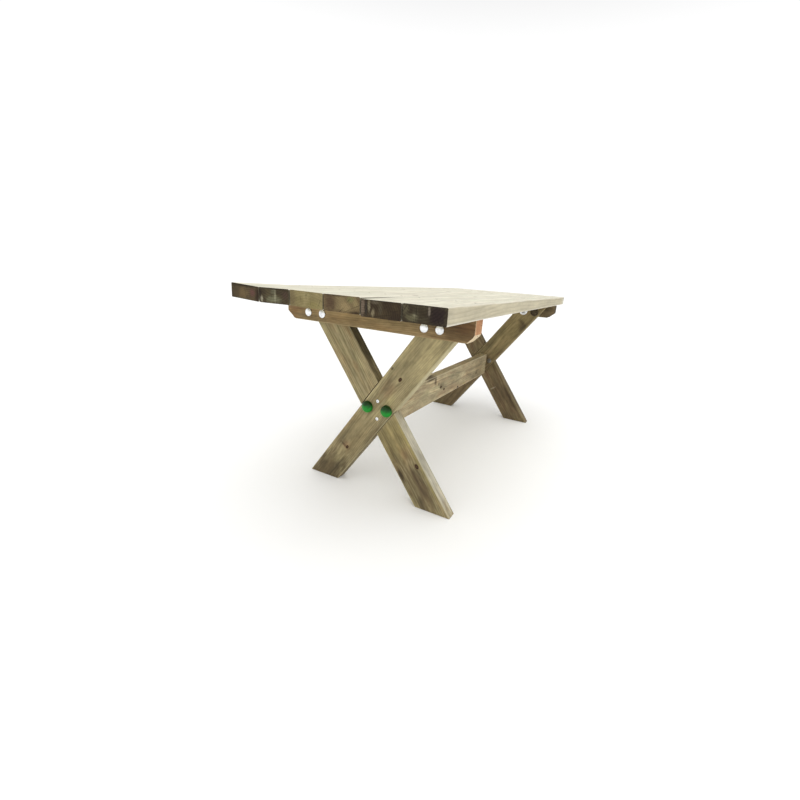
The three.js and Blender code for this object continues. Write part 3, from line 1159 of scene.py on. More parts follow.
@dataclass
class Stretcher(Board):
    """The rail on edge between the crossings, with pilot holes in its ends."""

    screw_heights: tuple[float, ...] = ()
    pilot: float = 6.4 * MM
    pilot_depth: float = 80 * MM

    def cut(self, board: Object) -> None:
        """Bores the pilot holes."""
        for way in (-1, 1):
            for height in self.screw_heights:
                end = Vector((0, self.centre.y + way * self.length / 2, height))
                carve(board, rod(end, self.pilot, 2 * self.pilot_depth, 16))


# ------------------------------------------------------------------------------------ timber


@dataclass
class TableTop:
    """Six planks side by side, each held by two screws into each bearer."""

    count: int = 6
    thinner: float = 1.4 * MM  # taken off the full thickness, so that warp stays inside it
    narrower: float = 0.6 * MM
    screw_inset: float = 30 * MM  # from a plank's edges
    screw_diameter: float = 5 * MM
    screw_head: float = 9 * MM
    screw_length: float = 80 * MM
    screw_sink: float = 1.0 * MM

    def build(self) -> None:
        """Builds the planks and their screws."""
        kind = CountersunkScrew(self.screw_diameter, self.screw_head, self.screw_length)
        screw = kind.model("plank_screw")
        screw.data.materials.append(BrightZinc().material())
        for number in range(1, self.count + 1):
            plank = self._plank(number)
            plank.build()
            for index, place in enumerate(plank.screw_places, 1):
                spin = Euler((0, 0, 0.7 * number + 1.3 * index))  # each driven to its own angle
                copy = place_copy(
                    screw, f"plank_screw_{number}_{index}", place - self.screw_sink * UP, spin)
                hand_over(copy, TABLE_BODY)
        bpy.data.objects.remove(screw, do_unlink=True)

    def _plank(self, number: int) -> Plank:
        """Describes one plank from its node's box.

        Args:
            number: its place from the left.

        Returns:
            The plank, ready to build.
        """
        node = f"top_plank_{number}"
        character = PLANKS[number - 1]
        low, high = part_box(node)
        # The box takes in the warped end, so its lifts come off again.
        low.z -= min(0.0, *character.lifts)
        high.z -= max(0.0, *character.lifts)
        centre = (low + high) / 2
        size = high - low
        rows = [middle_of(f"{end.label}_bearer").y for end in End]
        sides = (low.x + self.screw_inset, high.x - self.screw_inset)
        top = centre.z + (size.z - self.thinner) / 2
        places = tuple(Vector((x, y, top)) for y in rows for x in sides)
        return Plank(
            name=f"plank_{number}", node=node, slot="top_wood", centre=centre, turn=Euler(),
            width=size.x - self.narrower, length=size.y - 1 * MM, thickness=size.z - self.thinner,
            grain=character.grain, face=character.face, end=character.end, twist=character.twist,
            grime_and_shade_sides=tuple(way for way, last in ((-1, 1), (1, self.count)) if number != last),
            screw_places=places, checks=character.checks, lifts=character.lifts)


@dataclass(frozen=True)
class Character:
    """What makes one board unlike the next: its grain, finishes, warp and season checks."""

    grain: Grain
    face: TreatedPine
    end: SawnEnd
    twist: float = 0.0
    checks: tuple[tuple[float, float, float], ...] = ()
    lifts: tuple[float, float] = (0.0, 0.0)
    chamfer: SawnEnd | None = None


def marks(*rows: tuple[float, float, float, float, str, float]) -> tuple[Stain, ...]:
    """Lists stains, the lowest first.

    Args:
        *rows: each stain's place across and along and its half sizes, all in millimetres, then its
            colour and its depth.

    Returns:
        The stains.
    """
    return tuple(Stain(*(length * MM for length in row[:4]), *row[4:]) for row in rows)


# The planks' pale colour is partly sun-bleaching and partly painted light, raised to stand in for the
# strong light on the top.
BLEACHED_AND_LIT = TreatedPine(
    "bleached treated pine", "#D9D4C2", "#B9AE93", "#C2C7AF", "#D2C4AA", "#E3DFD2",
    contrast=0.32, cast_depth=0.35, mottling=0.32, knot_depth=0.6)
OLIVE = TreatedPine("olive treated pine", "#998C69", "#726340", "#858158", "#89714F", "#B3A883")
WARM = TreatedPine("warm brown treated pine", "#8A7654", "#6A5434", "#7B7048", "#80633F", "#A8946C")
# A darker copy of the pine for the far frame: partly its own darker colour, partly painted shade standing
# in for the shade under the table.
DARK_AND_SHADED = TreatedPine("damp brown treated pine", "#75664B", "#55452D", "#6D6643", "#644B36", "#90845F")
GREYED = TreatedPine("grey-tan treated pine", "#AC9D7D", "#8A7857", "#9A9572", "#9B8262", "#C8BD9F")

DARK_RIM = (0, 21.5, 70, 5, "#2B241A", 0.75)  # wet soaks in along the upper edge
# The outer long sides of the outermost planks are made darker than the top, whose paleness is partly
# painted light.
OUTER_SIDE = "#B2A98F"

PLANKS = (
    Character(
        Grain(0.02, -0.05, 6 * MM, seed=1.3, knots=(Knot(0.02, 0.31, 9 * MM), Knot(-0.03, -0.42, 6 * MM)),
              stains=marks((-59.5, 0, 3.5, 3000, OUTER_SIDE, 0.9))),
        BLEACHED_AND_LIT, SawnEnd("damp pine", "#443A29", "#554834", 0.5, stains=marks(
            (-6, -2, 24, 18, "#6B5A3E", 0.8), (34, 2, 14, 13, "#5E403A", 0.8),
            (56, -4, 12, 30, "#2C2119", 0.8), (-20, -20, 50, 6, "#5F5C46", 0.6), DARK_RIM)),
        twist=math.radians(0.5), checks=((0.012, -0.84, 0.11),), lifts=(5 * MM, -1 * MM)),
    Character(
        Grain(-0.01, 0.07, 7 * MM, seed=4.9, knots=(Knot(-0.02, -0.12, 8 * MM), Knot(0.035, 0.62, 7 * MM))),
        BLEACHED_AND_LIT, SawnEnd("damp green-stained pine", "#3C3325", "#504732", 0.5, stains=marks(
            (-2, -10, 34, 12, "#6E6C54", 0.85), (-1, 12, 12, 12, "#5E5B48", 0.8),
            (5, 0, 5, 20, "#87836B", 0.8), (-50, -12, 6, 12, "#97917C", 0.85),
            (-58, 6, 10, 16, "#241B14", 0.8), (45, 4, 14, 14, "#4B3B31", 0.7), DARK_RIM)),
        twist=math.radians(-0.4), checks=((-0.02, 0.82, 0.14),), lifts=(-1 * MM, 1.5 * MM)),
    Character(
        Grain(0.005, -0.09, 7 * MM, seed=9.1, knots=(Knot(0.01, 0.05, 10 * MM),)),
        BLEACHED_AND_LIT, SawnEnd("olive pine", "#786D4A", "#8B7F59", 0.6, ring_depth=0.1, stains=marks(
            (-52, 0, 18, 40, "#695C42", 0.75), (30, -12, 30, 12, "#7F7549", 0.6),
            (2, 12, 20, 8, "#918861", 0.5), (2, 13, 4, 3, "#5C5338", 0.7))),
        twist=math.radians(0.3), checks=((0.03, -0.81, 0.16), (-0.02, 0.86, 0.07)), lifts=(1.5 * MM, 0.0)),
    Character(
        Grain(-0.03, -0.045, 6 * MM, seed=14.2,
              knots=(Knot(-0.035, 0.44, 7 * MM), Knot(0.03, -0.55, 8 * MM))),
        BLEACHED_AND_LIT, SawnEnd("brown pine", "#62533B", "#7B6C4D", 0.5, ring_depth=0.14, stains=marks(
            (-36, 2, 22, 30, "#503F2F", 0.9), (12, -6, 20, 18, "#8B7A57", 0.85),
            (30, 14, 14, 10, "#727049", 0.7), (47, 2, 10, 14, "#857653", 0.8),
            (50, -20, 26, 7, "#33271A", 0.9), (-20, 21, 40, 4, "#3B2F20", 0.7))),
        twist=math.radians(-0.3), checks=((0.0, 0.8, 0.18),), lifts=(0.0, 1 * MM)),
    Character(
        Grain(-0.045, -0.03, 6 * MM, seed=20.8, knots=(Knot(0.0, -0.22, 7 * MM), Knot(0.03, 0.2, 5 * MM))),
        BLEACHED_AND_LIT, SawnEnd("nearly black pine", "#342A1F", "#433827", 0.4, stains=marks(
            (-54, -2, 8, 30, "#6F6152", 0.85), (-43, -2, 4, 24, "#34302A", 0.8),
            (-34, 4, 5, 20, "#7D745C", 0.8), (-22, -12, 6, 12, "#7E735A", 0.8),
            (-18, 14, 16, 5, "#5E5546", 0.7), (0, 2, 8, 20, "#4F4838", 0.6), DARK_RIM)),
        twist=math.radians(0.4), checks=((-0.015, -0.85, 0.09),), lifts=(-2.5 * MM, -2.5 * MM)),
    Character(
        Grain(-0.02, 0.055, 7 * MM, seed=27.5, knots=(Knot(-0.01, 0.1, 9 * MM), Knot(0.02, 0.73, 6 * MM)),
              stains=marks(
                  (59.5, 0, 3.5, 3000, OUTER_SIDE, 0.9), (59.5, 880, 3.5, 40, "#C9C9BE", 0.7))),
        BLEACHED_AND_LIT, SawnEnd("purple-black pine", "#342C20", "#464030", 0.5, stains=marks(
            (-34, -12, 20, 10, "#5F5A43", 0.85), (-26, -6, 6, 5, "#7B765E", 0.8),
            (-50, 8, 10, 14, "#5A543F", 0.7), (34, -2, 30, 30, "#291F1E", 0.95),
            (12, 8, 4, 14, "#7A7062", 0.85), DARK_RIM)),
        twist=math.radians(-0.4), checks=((0.025, -0.82, 0.13), (-0.03, 0.84, 0.1)),
        lifts=(-2 * MM, -2 * MM)),
)


@dataclass
class EndFrame:
    """The timber of one end of the table: a bearer and two halved legs."""

    end: End
    leg_width: float = 115 * MM
    leg_lean: float = math.radians(36)
    leg_spare: float = 0.12  # blanked longer, then cut level
    left_corner: tuple[float, float] = (36 * MM, 27 * MM)  # width and height off the bearer
    right_corner: tuple[float, float] = (24 * MM, 24 * MM)
    bearer_under: float = 0.6 * MM

    def build(self) -> None:
        """Builds the bearer and the two legs."""
        self._bearer().build()
        for rises, which in ((Side.RIGHT, "front"), (Side.LEFT, "back")):
            self._leg(rises, which).build()

    def world_side(self, side: Side) -> int:
        """The sign along world X of a side as seen from outside this end."""
        return -side.value * self.end.value

    def node(self, rest: str) -> str:
        """The name of one of this end's nodes."""
        return f"{self.end.label}_{rest}"

    def middle(self, rest: str) -> Vector:
        """The middle of one of this end's nodes."""
        return middle_of(self.node(rest))

    def _bearer(self) -> Bearer:
        """Describes the bearer from its node's box."""
        low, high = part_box(self.node("bearer"))
        size = high - low
        character = BEARERS[self.end]
        return Bearer(
            name=f"crossbar_{self.end.label}", node=self.node("bearer"), slot="bearer_wood",
            centre=(low + high) / 2, turn=board_turn(ACROSS_TABLE, UP), width=size.z - UNDER,
            length=size.x - self.bearer_under, thickness=size.y - self.bearer_under,
            grain=character.grain, face=character.face, end=character.end, chamfer=character.chamfer,
            corners=((self.world_side(Side.LEFT), *self.left_corner),
                     (self.world_side(Side.RIGHT), *self.right_corner)),
            bolt_places=tuple(self.middle(f"top_bolt_{i}") for i in range(1, 5)))

    def _leg(self, rises: Side, which: str) -> Leg:
        """Describes a leg from its node's box.

        Args:
            rises: the side towards which the leg rises.
            which: front for the leg whose outer face is whole, back for the other one.

        Returns:
            The leg, ready to build.
        """
        low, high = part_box(self.node(f"leg_{which}"))
        crossing = self.middle("cross_bolt_left").lerp(self.middle("cross_bolt_right"), 0.5)
        middle_y = (low.y + high.y) / 2
        sign = self.world_side(rises)
        along = Vector((sign * math.sin(self.leg_lean), 0, math.cos(self.leg_lean)))
        across = Vector((sign * -math.cos(self.leg_lean), 0, math.sin(self.leg_lean)))
        mirrored = [Vector((-way.x, 0, way.z)) for way in (along, across)]
        half_way = (low.z + high.z) / 2
        centre = Vector((crossing.x + (half_way - crossing.z) * along.x / along.z, middle_y, half_way))
        tops = [self.middle(f"top_bolt_{i}") for i in range(1, 5)]
        character = LEGS[(self.end, which)]
        inward = -self.end.outward
        return Leg(
            name=f"leg_{self.end.label}_{which}", node=self.node(f"leg_{which}"), slot="leg_wood",
            centre=centre, turn=board_turn(along, across), width=self.leg_width,
            length=(high.z - low.z) / along.z + self.leg_spare, thickness=high.y - low.y - UNDER,
            grain=character.grain, face=character.face, end=character.end,
            foot=low.z, head=high.z, partner_turn=board_turn(*mirrored),
            crossing=crossing, notch_side=inward if which == "front" else -inward,
            bolt_places=tuple([p for p in tops if p.x * sign > 0]
                              + [self.middle("cross_bolt_left"), self.middle("cross_bolt_right")]),
            screw_places=tuple(self.middle(f"stretcher_screw_{p}") for p in ("upper", "lower")),
            outward=self.end.outward)


def board_turn(along: Vector, across: Vector) -> Euler:
    """Works out a board's turn from the way its length and its width run.

    Args:
        along: the way its length runs.
        across: the way its width runs.

    Returns:
        The turn that brings its own Y and X there.
    """
    through = across.cross(along)
    return Matrix((across, along, through)).transposed().to_euler()


FRESH_END = SawnEnd("fresh-sawn pine", "#AA7C59", "#BF936E", 0.5, ring_depth=0.12)
# A paler copy of the fresh-sawn end for the bearer's sawn-off corners: painted light, standing in for the
# light that these faces catch.
LIT_FRESH_CHAMFER = SawnEnd("fresh-sawn pine chamfer", "#D2BC98", "#DDCBAC", 0.5, ring_depth=0.08)
DAMP_END = SawnEnd("damp pine", "#4A3D2B", "#5E4F39", 0.5)
SOIL, DARK, PURPLE, RED = "#483B26", "#3B2E1D", "#493A29", "#75543C"

BEARERS = {
    End.NEAR: Character(
        Grain(0.01, -0.05, 5 * MM, seed=31.0, stains=marks(
            # The pale lines along the lower edge (across -33) and the upper edge (across 33.5) are painted
            # highlights where the arrises catch the light.
            (8, -325, 16, 35, "#80583F", 0.35), (-33, -100, 4, 240, "#9C8E66", 0.4),
            (0, -50, 120, 300, "#7E6B48", 0.55), (0, 320, 70, 140, "#57432A", 0.85),
            (10, 330, 22, 50, "#573C25", 0.6), (33.5, -50, 3.5, 300, "#A99B70", 0.7))),
        WARM, FRESH_END, chamfer=LIT_FRESH_CHAMFER),
    End.FAR: Character(Grain(-0.02, -0.04, 6 * MM, seed=36.0), DARK_AND_SHADED, DAMP_END),
}

LEGS = {
    (End.NEAR, "front"): Character(
        Grain(0.01, -0.07, 5 * MM, seed=41.0,
              knots=(Knot(0.002, 0.145, 5 * MM), Knot(-0.004, -0.24, 5 * MM)),
              stains=marks(
                  (0, 270, 120, 220, "#A3966F", 0.75), (0, -170, 120, 170, "#7D704F", 0.75),
                  (0, -410, 100, 130, SOIL, 0.85), (12, -243, 22, 7, DARK, 0.75),
                  (4, -235, 22, 22, RED, 0.45), (49, 153, 6, 7, DARK, 0.7), (12, 85, 30, 45, RED, 0.35),
                  (-12, 135, 12, 50, SOIL, 0.3), (-20, 30, 20, 60, "#7F7C4C", 0.35),
                  (-30, -300, 12, 50, DARK, 0.4), (-57.5, 220, 4.5, 300, "#B8AE8A", 0.85),
                  (-57.5, -300, 4, 220, "#7C7050", 0.7))),
        OLIVE, DAMP_END),
    (End.NEAR, "back"): Character(
        Grain(-0.01, 0.06, 5 * MM, seed=47.0, knots=(Knot(0.037, -0.258, 6 * MM),), stains=marks(
            (0, -130, 120, 120, "#776A42", 0.75), (0, -330, 70, 150, SOIL, 0.65),
            (-45, -268, 14, 35, DARK, 0.85), (8, -320, 10, 90, PURPLE, 0.7),
            (26, -360, 12, 60, PURPLE, 0.6), (-15, -400, 20, 50, PURPLE, 0.5),
            (20, -200, 20, 30, RED, 0.3), (-30, -170, 10, 80, DARK, 0.35),
            # Along the upper narrow face (across 57.5): the dark upper stretch is painted shade under the
            # top, the pale lower stretch is painted light, and the thin dark line at 54.5 is a painted
            # shadow line.
            (49.5, -250, 4, 240, "#9A8E56", 0.5), (57.5, 260, 4, 200, "#3A2F18", 0.9),
            (57.5, -250, 3.5, 260, "#BDB7A4", 0.9), (54.5, -280, 1.2, 240, "#3F3626", 0.7))),
        OLIVE, DAMP_END),
    (End.FAR, "front"): Character(
        Grain(0.02, -0.06, 5 * MM, seed=53.0, knots=(Knot(0.02, 0.2, 6 * MM),), stains=marks(
            (0, -300, 120, 170, "#5C4C36", 0.6), (35, -300, 14, 120, "#3C2F20", 0.6),
            (-25, -195, 20, 6, "#A89A80", 0.6))), DARK_AND_SHADED, DAMP_END),
    (End.FAR, "back"): Character(
        Grain(-0.02, 0.06, 5 * MM, seed=59.0, knots=(Knot(-0.02, -0.1, 6 * MM),), stains=marks(
            (0, 270, 120, 230, "#8C7D55", 0.75), (0, -320, 120, 200, "#5A4B34", 0.6),
            (-35, 300, 20, 30, "#4A3B29", 0.7), (-20, 315, 30, 12, "#4A3B29", 0.5))),
        DARK_AND_SHADED, DAMP_END),
}

RAIL = Character(
    Grain(0.01, -0.08, 5 * MM, seed=65.0, knots=(
        Knot(-0.004, -0.102, 6 * MM), Knot(-0.023, -0.062, 5 * MM), Knot(-0.053, 0.12, 6 * MM)),
          stains=marks(
              (-35, 60, 28, 160, "#75634A", 0.45), (56, -205, 9, 60, DARK, 0.9),
              (38, -168, 22, 14, DARK, 0.75), (0, -90, 22, 35, SOIL, 0.45),
              (17, -130, 12, 8, DARK, 0.6), (0, 360, 100, 160, "#85775A", 0.6),
              (-50, 211, 5, 20, "#A89A60", 0.8), (-28, 398, 10, 20, DARK, 0.6),
              (0, 450, 80, 80, "#6A5A40", 0.5))),
    GREYED, DAMP_END)


def stretcher() -> Stretcher:
    """Describes the stretcher from its node's box.

    Returns:
        The stretcher, ready to build.
    """
    low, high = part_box("stretcher")
    size = high - low
    heights = tuple(middle_of(f"near_stretcher_screw_{place}").z for place in ("upper", "lower"))
    return Stretcher(
        name="rail", node="stretcher", slot="stretcher_wood", centre=(low + high) / 2,
        turn=board_turn(ALONG_TABLE, UP), width=size.z - UNDER, length=size.y, thickness=size.x - UNDER,
        grain=RAIL.grain, face=RAIL.face, end=RAIL.end, screw_heights=heights)


# ------------------------------------------------------------------------------------ hardware


@dataclass
class Thread:
    """A thread drawn as rings: its crest diameter, pitch and depth."""

    diameter: float
    pitch: float
    depth: float

    def rings(self, start: float, end: float) -> list[tuple[float, float]]:
        """Lists a zigzag profile between two heights.

        Args:
            start: the height of the first crest.
            end: the height of the last one.

        Returns:
            Pairs of radius and height.
        """
        count = max(1, round(abs(end - start) / self.pitch))
        step = (end - start) / count
        crest, root = self.diameter / 2, self.diameter / 2 - self.depth
        points = []
        for turn in range(count):
            points.append((crest, start + turn * step))
            points.append((root, start + (turn + 0.5) * step))
        points.append((crest, end))
        return points


@dataclass
class CarriageBolt:
    """A round-headed bolt with a square neck. Its head stands on z = 0 and its shank hangs down."""

    length: float
    diameter: float = 12 * MM
    head_diameter: float = 28 * MM
    head_height: float = 5.5 * MM
    rim: float = 1.1 * MM
    neck_length: float = 6 * MM
    thread_length: float = 30 * MM
    pitch: float = 1.75 * MM
    sides: int = 40

    def model(self, name: str) -> Object:
        """Turns the bolt and squares its neck.

        Args:
            name: the object's name.

        Returns:
            The bolt.
        """
        radius = self.diameter / 2
        head_radius = self.head_diameter / 2
        crown = dome(head_radius, self.head_height - self.rim, 9, self.rim)
        thread = Thread(self.diameter, self.pitch, 0.9 * MM)
        profile = [
            *reversed(crown), (head_radius, 0.5 * self.rim), (head_radius - 0.4 * MM, 0), (radius, 0),
            (radius, -self.length + self.thread_length + 1 * MM),
            *thread.rings(-self.length + self.thread_length, -self.length + 1.2 * MM),
            (radius - 1.1 * MM, -self.length)]
        bolt = turned(name, profile, self.sides)
        neck = block("neck", Vector((0, 0, -self.neck_length / 2)),
                     Vector((self.diameter + 0.02 * MM, self.diameter + 0.02 * MM, self.neck_length)))
        edit(neck)
        select_edges(neck, lambda a, b: abs(a.z - b.z) > self.neck_length / 2)
        bpy.ops.mesh.bevel(offset=0.5 * MM, segments=2, affect="EDGES")
        deselect()
        carve(bolt, neck, "UNION")
        smooth(bolt)
        return bolt


@dataclass
class HexagonNut:
    """A chamfered nut that stands on z = 0."""

    across_flats: float = 19 * MM
    height: float = 10 * MM
    bore: float = 12.1 * MM
    chamfer: float = 1.4 * MM

    def model(self, name: str) -> Object:
        """Forges the nut: a hexagon with both faces turned off at its corners and a bevelled bore.

        Args:
            name: the object's name.

        Returns:
            The nut.
        """
        deselect()
        corner = self.across_flats / math.sqrt(3)
        bpy.ops.mesh.primitive_cylinder_add(
            vertices=6, radius=corner, depth=self.height, location=(0, 0, self.height / 2))
        nut = bpy.context.object
        nut.name = nut.data.name = name
        settle(nut)
        flat = self.across_flats / 2
        reach = corner - flat + self.chamfer
        drop = reach * 0.58  # the corners are turned off at about 30 degrees
        limit = turned("limit", [
            (flat - 0.3 * MM, -0.01 * MM), (flat + reach, drop), (flat + reach, self.height - drop),
            (flat - 0.3 * MM, self.height + 0.01 * MM)], 48)
        carve(nut, limit, "INTERSECT")
        hole = self.bore / 2
        bore = turned("bore", [
            (hole + 1.2 * MM, -0.2 * MM), (hole, 1 * MM), (hole, self.height - 1 * MM),
            (hole + 1.2 * MM, self.height + 0.2 * MM)], 32)
        carve(nut, bore)
        smooth(nut)
        return nut


@dataclass
class TimberWasher:
    """A large flat washer on z = 0 with pressed, rounded rims."""

    diameter: float = 45 * MM
    bore: float = 12.6 * MM
    thickness: float = 4 * MM
    rounding: float = 0.8 * MM

    def model(self, name: str) -> Object:
        """Presses the washer.

        Args:
            name: the object's name.

        Returns:
            The washer.
        """
        rim, hole, ease, top = self.diameter / 2, self.bore / 2, self.rounding, self.thickness
        washer = turned(name, [
            (hole, ease * 0.3), (hole + ease * 0.5, 0), (rim - ease * 0.4, 0), (rim, ease * 0.4),
            (rim, top - ease), (rim - ease * 0.3, top - ease * 0.3), (rim - ease, top),
            (hole + ease * 0.8, top), (hole, top - ease)], 48, ring=True)
        smooth(washer)
        return washer


@dataclass
class CountersunkScrew:
    """A wood screw whose flat head lies on z = 0 with its shank down and a cross in its head."""

    diameter: float
    head_diameter: float
    length: float
    pitch: float = 3 * MM
    sides: int = 24

    def model(self, name: str) -> Object:
        """Turns the screw and presses the cross into its head.

        Args:
            name: the object's name.

        Returns:
            The screw.
        """
        shank = self.diameter / 2 * 0.72
        head = self.head_diameter / 2
        taper = head - shank
        thread = Thread(self.diameter, self.pitch, self.diameter / 2 - shank)
        start, end = -0.45 * self.length, -self.length + 2.2 * self.diameter
        screw = turned(name, [
            (head * 0.94, 0), (head, -0.25 * MM), (head, -0.6 * MM), (shank, -taper),
            (shank, start + 1 * MM), *thread.rings(start, end), (shank * 0.8, end - 1 * MM),
            (0.25 * MM, -self.length)], self.sides)
        arm = self.head_diameter * 0.56
        slot, other = (block("slot", Vector(), Vector((*size, arm * 0.55)))
                       for size in ((arm, arm * 0.2), (arm * 0.2, arm)))
        carve(slot, other, "UNION")
        edit(slot)
        select_edges(slot, lambda a, b: max(a.z, b.z) < 0)
        bpy.ops.transform.resize(value=(0.45, 0.45, 1), center_override=(0, 0, -arm * 0.275))
        deselect()
        carve(screw, slot)
        smooth(screw)
        return screw


@dataclass
class SnapCap:
    """A two-piece cover for a bolt end: a base clamped under the nut and a domed lid over it."""

    diameter: float = 44 * MM
    height: float = 19 * MM
    skirt: float = 5 * MM
    wall: float = 2 * MM
    base_thickness: float = 2.5 * MM
    collar_outer: float = 30 * MM
    collar_inner: float = 26 * MM
    collar_height: float = 9 * MM
    bore: float = 12.6 * MM
    clearance: float = 0.3 * MM
    sides: int = 64

    def lid(self, name: str) -> Object:
        """Moulds the lid: a hollow dome with a small bead round its rim.

        Args:
            name: the object's name.

        Returns:
            The lid, open downwards, its rim on z = 0.
        """
        outer = self.diameter / 2
        inner = outer - self.wall
        rise = self.height - self.skirt
        outside = dome(outer, rise, 14, self.skirt)
        inside = dome(inner, rise - self.wall, 12, self.skirt)
        lid = turned(name, [
            *reversed(inside), (inner, 0.6 * MM), (inner + 0.5 * MM, 0), (outer - 0.5 * MM, 0),
            (outer, 0.5 * MM), (outer, 1.3 * MM), (outer - 0.35 * MM, 1.8 * MM),
            (outer - 0.35 * MM, 2.4 * MM), *outside], self.sides)
        smooth(lid, math.radians(40))
        return lid

    def base(self, name: str) -> Object:
        """Moulds the base: a disc with a collar round the nut.

        Args:
            name: the object's name.

        Returns:
            The base on z = 0, its collar up.
        """
        hole, rim = self.bore / 2, self.diameter / 2 - self.wall - self.clearance
        outer, inner = self.collar_outer / 2, self.collar_inner / 2
        floor, top = self.base_thickness, self.collar_height
        ease = 0.4 * MM
        base = turned(name, [
            (hole, ease), (hole + ease, 0), (rim - ease, 0), (rim, ease), (rim, floor - ease),
            (rim - ease, floor),
            (outer + ease, floor), (outer, floor + ease), (outer, top - ease), (outer - ease, top),
            (inner + ease, top), (inner, top - ease), (inner, floor + ease), (inner - ease, floor),
            (hole + ease, floor), (hole, floor - ease)], self.sides, ring=True)
        smooth(base)
        return base


@dataclass
class Fastenings:
    """Every bolt, nut, washer, screw and cap of both end frames, modelled once and copied."""

    bright_washers: tuple[int, ...] = (2,)  # these get bright zinc, the other washers dark brown zinc

    def build(self) -> None:
        """Models each kind of fastening and puts the copies in place."""
        zinc = BrightZinc().material()
        # Dark dull zinc for the crossing bolts, and dark brown zinc for the nuts, most washers and the
        # threaded ends of the leg-top bolts.
        dull = BrightZinc("weathered zinc-plated steel", "#8A8883", "#5F5C56", 0.5).material()
        brown_zinc = BrightZinc("zinc-plated steel gone brown", "#5D5343", "#3E3527", 0.6).material()
        green = MouldedPlastic().material(middle_of("near_cap_lid_left").z)
        top_length, cross_length = (
            high.y - low.y - CarriageBolt.head_height
            for low, high in (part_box("near_top_bolt_1"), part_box("near_cross_bolt_left")))
        low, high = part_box("near_stretcher_screw_upper")
        cap = SnapCap()
        models = {
            "top_bolt": (CarriageBolt(top_length).model("top_bolt_model"), zinc),
            "cross_bolt": (CarriageBolt(cross_length).model("cross_bolt_model"), dull),
            "nut": (HexagonNut().model("nut_model"), brown_zinc),
            "washer": (TimberWasher().model("washer_model"), brown_zinc),
            "shiny_washer": (TimberWasher().model("shiny_washer_model"), zinc),
            "screw": (CountersunkScrew(6 * MM, high.x - low.x, high.y - low.y).model("screw_model"), zinc),
            "lid": (cap.lid("lid_model"), green),
            "base": (cap.base("base_model"), green),
        }
        for model, finish in models.values():
            model.data.materials.clear()
            model.data.materials.append(finish)
        bolt = models["top_bolt"][0].data
        bolt.materials.append(brown_zinc)
        for polygon in bolt.polygons:
            polygon.material_index = int(polygon.center.z < CarriageBolt.thread_length - top_length)
        self.models = {key: model for key, (model, _) in models.items()}
        for end in End:
            self._leg_tops(end)
            self._crossing(end)
        for model in self.models.values():
            bpy.data.objects.remove(model, do_unlink=True)

    def put(self, kind: str, piece: str, part: str, which: str | int, end: End, facing: Facing,
            offset: float, body: str = TABLE_BODY, spin: float = 0.0) -> None:
        """Puts a copy of a fastening where its node is.

        Args:
            kind: which model.
            piece: the start of the copy's name.
            part: the middle of the name of the CAD node that it stands for.
            which: the number, side or place that ends both names.
            end: the end of the table it belongs to.
            facing: the way its model's +Z looks.
            offset: how far behind its node's foremost point its origin lies.
            body: the CAD body it rides on.
            spin: its turn about its own axis.
        """
        node = f"{end.label}_{part}_{which}"
        low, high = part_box(node)
        way = end.value * facing.value
        foremost = high.y if way > 0 else low.y
        place = Vector(((low.x + high.x) / 2, foremost - way * offset, (low.z + high.z) / 2))
        turn = (Euler((-way * math.pi / 2, 0, 0)).to_matrix() @ Euler((0, 0, spin)).to_matrix()).to_euler()
        copy = place_copy(self.models[kind], f"{piece}_{end.label}_{which}", place, turn)
        hand_over(copy, body, node)

    def _leg_tops(self, end: End) -> None:
        """Puts in the four bolts, washers and nuts that hold the legs to a bearer."""
        for i in range(1, 5):
            washer = "shiny_washer" if i in self.bright_washers else "washer"
            self.put("top_bolt", "coach_bolt", "top_bolt", i, end, Facing.OUTWARD, CarriageBolt.head_height)
            self.put(washer, "timber_washer", "top_washer", i, end, Facing.INWARD,
                     TimberWasher.thickness, spin=0.3 * i)
            self.put("nut", "nut", "top_nut", i, end, Facing.INWARD, HexagonNut.height, spin=0.55 * i)

    def _crossing(self, end: End) -> None:
        """Puts in the two capped bolts and the two screws of a crossing."""
        for side in Side:
            hand = side.label
            self.put("cross_bolt", "crossing_bolt", "cross_bolt", hand, end, Facing.INWARD,
                     CarriageBolt.head_height)
            self.put("nut", "crossing_nut", "cross_nut", hand, end, Facing.OUTWARD,
                     HexagonNut.height, spin=0.2 * side.value)
            self.put("base", "snap_base", "cap_base", hand, end, Facing.OUTWARD,
                     SnapCap.collar_height)
            self.put("lid", "snap_lid", "cap_lid", hand, end, Facing.OUTWARD, SnapCap.height,
                     body=f"{end.label}_{hand}_cap")
        for place, spin in (("upper", 0.4), ("lower", 1.1)):
            self.put("screw", "long_screw", "stretcher_screw", place, end, Facing.OUTWARD, 0.0, spin=spin)


# ------------------------------------------------------------------------------------ studio


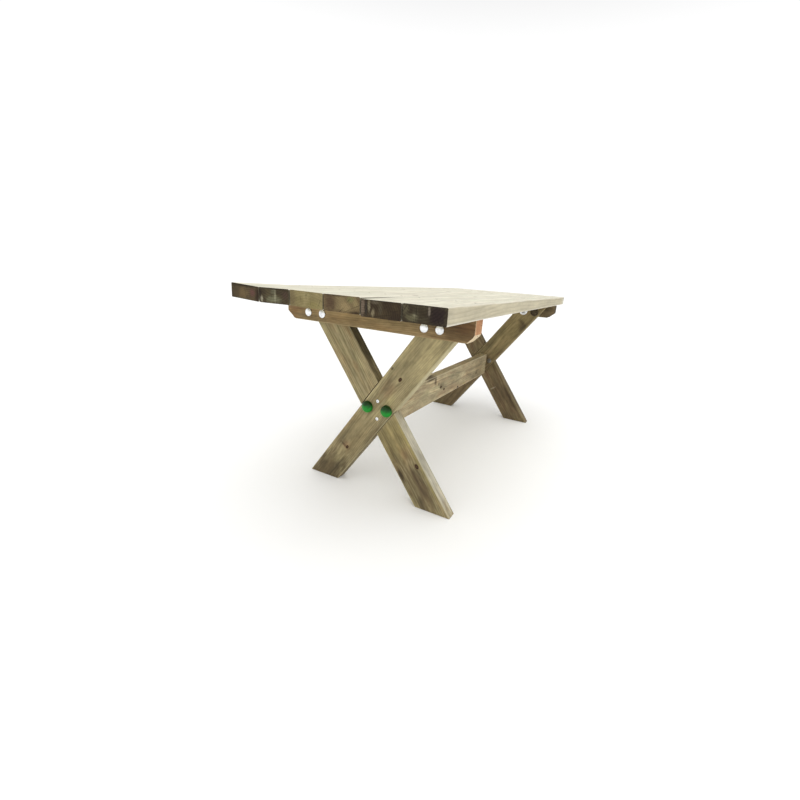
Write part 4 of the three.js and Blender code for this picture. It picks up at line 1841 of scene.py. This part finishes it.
@dataclass
class Studio:
    """A pale floor, soft light from all round and above, and the camera."""

    camera_place: tuple[float, float, float] = (0.7125, -1.7116, 0.810)
    heading: float = math.radians(27.16)
    dip: float = math.radians(18.82)
    roll: float = math.radians(4.16)
    lens: float = 17.146
    shift: tuple[float, float] = (-0.0176, 0.0076)
    floor_size: float = 60.0
    low_sky: float = 1.06
    high_sky: float = 0.6
    overhead_power: float = 1.5
    overhead_spread: float = math.radians(80)
    overhead_turn: tuple[float, float, float] = (math.radians(8), math.radians(10), 0)

    def build(self) -> None:
        """Sets up the floor, the lights, the world and the camera."""
        bpy.context.scene.view_settings.view_transform = "Standard"
        self._floor()
        self._world()
        self._overhead_light()
        self._camera()

    def _floor(self) -> None:
        """Lays the floor just under the feet."""
        deselect()
        bpy.ops.mesh.primitive_plane_add(size=self.floor_size, location=(0, 0, -0.2 * MM))
        floor = bpy.context.object
        floor.name = "studio_floor"
        settle(floor)
        material, tree = new_material("white studio floor")
        coordinates = add_node(tree, "TexCoord")
        cloud = add_node(
            tree, "TexNoise", {"Scale": 1.5, "Detail": 2.0}, {"Vector": coordinates.outputs["Object"]})
        tone = add_node(
            tree, "Mix", {"data_type": "RGBA", 6: srgb("#FAFAF9"), 7: srgb("#FCFCFB")}, {0: cloud})
        shader = add_node(tree, "BsdfPrincipled", {"Roughness": 0.9}, {"Base Color": tone.outputs[2]})
        add_node(tree, "OutputMaterial", {}, {"Surface": shader})
        floor.data.materials.append(material)

    def _world(self) -> None:
        """Fills the studio with white light that is brighter low down than overhead."""
        world = bpy.data.worlds.new("white studio")
        bpy.context.scene.world = world
        world.use_nodes = True
        world.node_tree.nodes.clear()
        way = add_node(world.node_tree, "TexCoord").outputs["Generated"]
        height = add_node(world.node_tree, "SeparateXYZ", {}, {0: way}).outputs["Z"]
        strength = add_node(
            world.node_tree, "MapRange", {"From Min": 0.4, "From Max": 0.65, "To Min": self.low_sky,
                                          "To Max": self.high_sky}, {0: height})
        light = add_node(world.node_tree, "Background", {"Color": (1, 1, 1, 1)}, {"Strength": strength})
        add_node(world.node_tree, "OutputWorld", {}, {"Surface": light})

    def _overhead_light(self) -> None:
        """Hangs a very broad light straight overhead."""
        light = bpy.data.lights.new("overhead_light", "SUN")
        light.angle = self.overhead_spread
        light.energy = self.overhead_power
        lamp = bpy.data.objects.new("overhead_light", light)
        bpy.context.scene.collection.objects.link(lamp)
        lamp.location = (0, 0, 4)
        lamp.rotation_euler = self.overhead_turn

    def _camera(self) -> None:
        """Sets up the camera."""
        data = bpy.data.cameras.new("camera")
        data.lens = self.lens
        data.shift_x, data.shift_y = self.shift
        camera = bpy.data.objects.new("camera", data)
        bpy.context.scene.collection.objects.link(camera)
        aim = (Matrix.Rotation(self.heading, 3, "Z") @ Matrix.Rotation(math.pi / 2 - self.dip, 3, "X")
               @ Matrix.Rotation(self.roll, 3, "Z"))
        camera.location = self.camera_place
        camera.rotation_euler = aim.to_euler()
        bpy.context.scene.camera = camera


# -------------------------------------------------------------------------------------- main


def main() -> None:
    """Builds the table in its studio."""
    logging.basicConfig(level=logging.INFO, format="%(message)s")
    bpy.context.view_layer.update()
    Studio().build()
    TableTop().build()
    for end in End:
        EndFrame(end).build()
    stretcher().build()
    Fastenings().build()


if __name__ == "__main__":
    main()
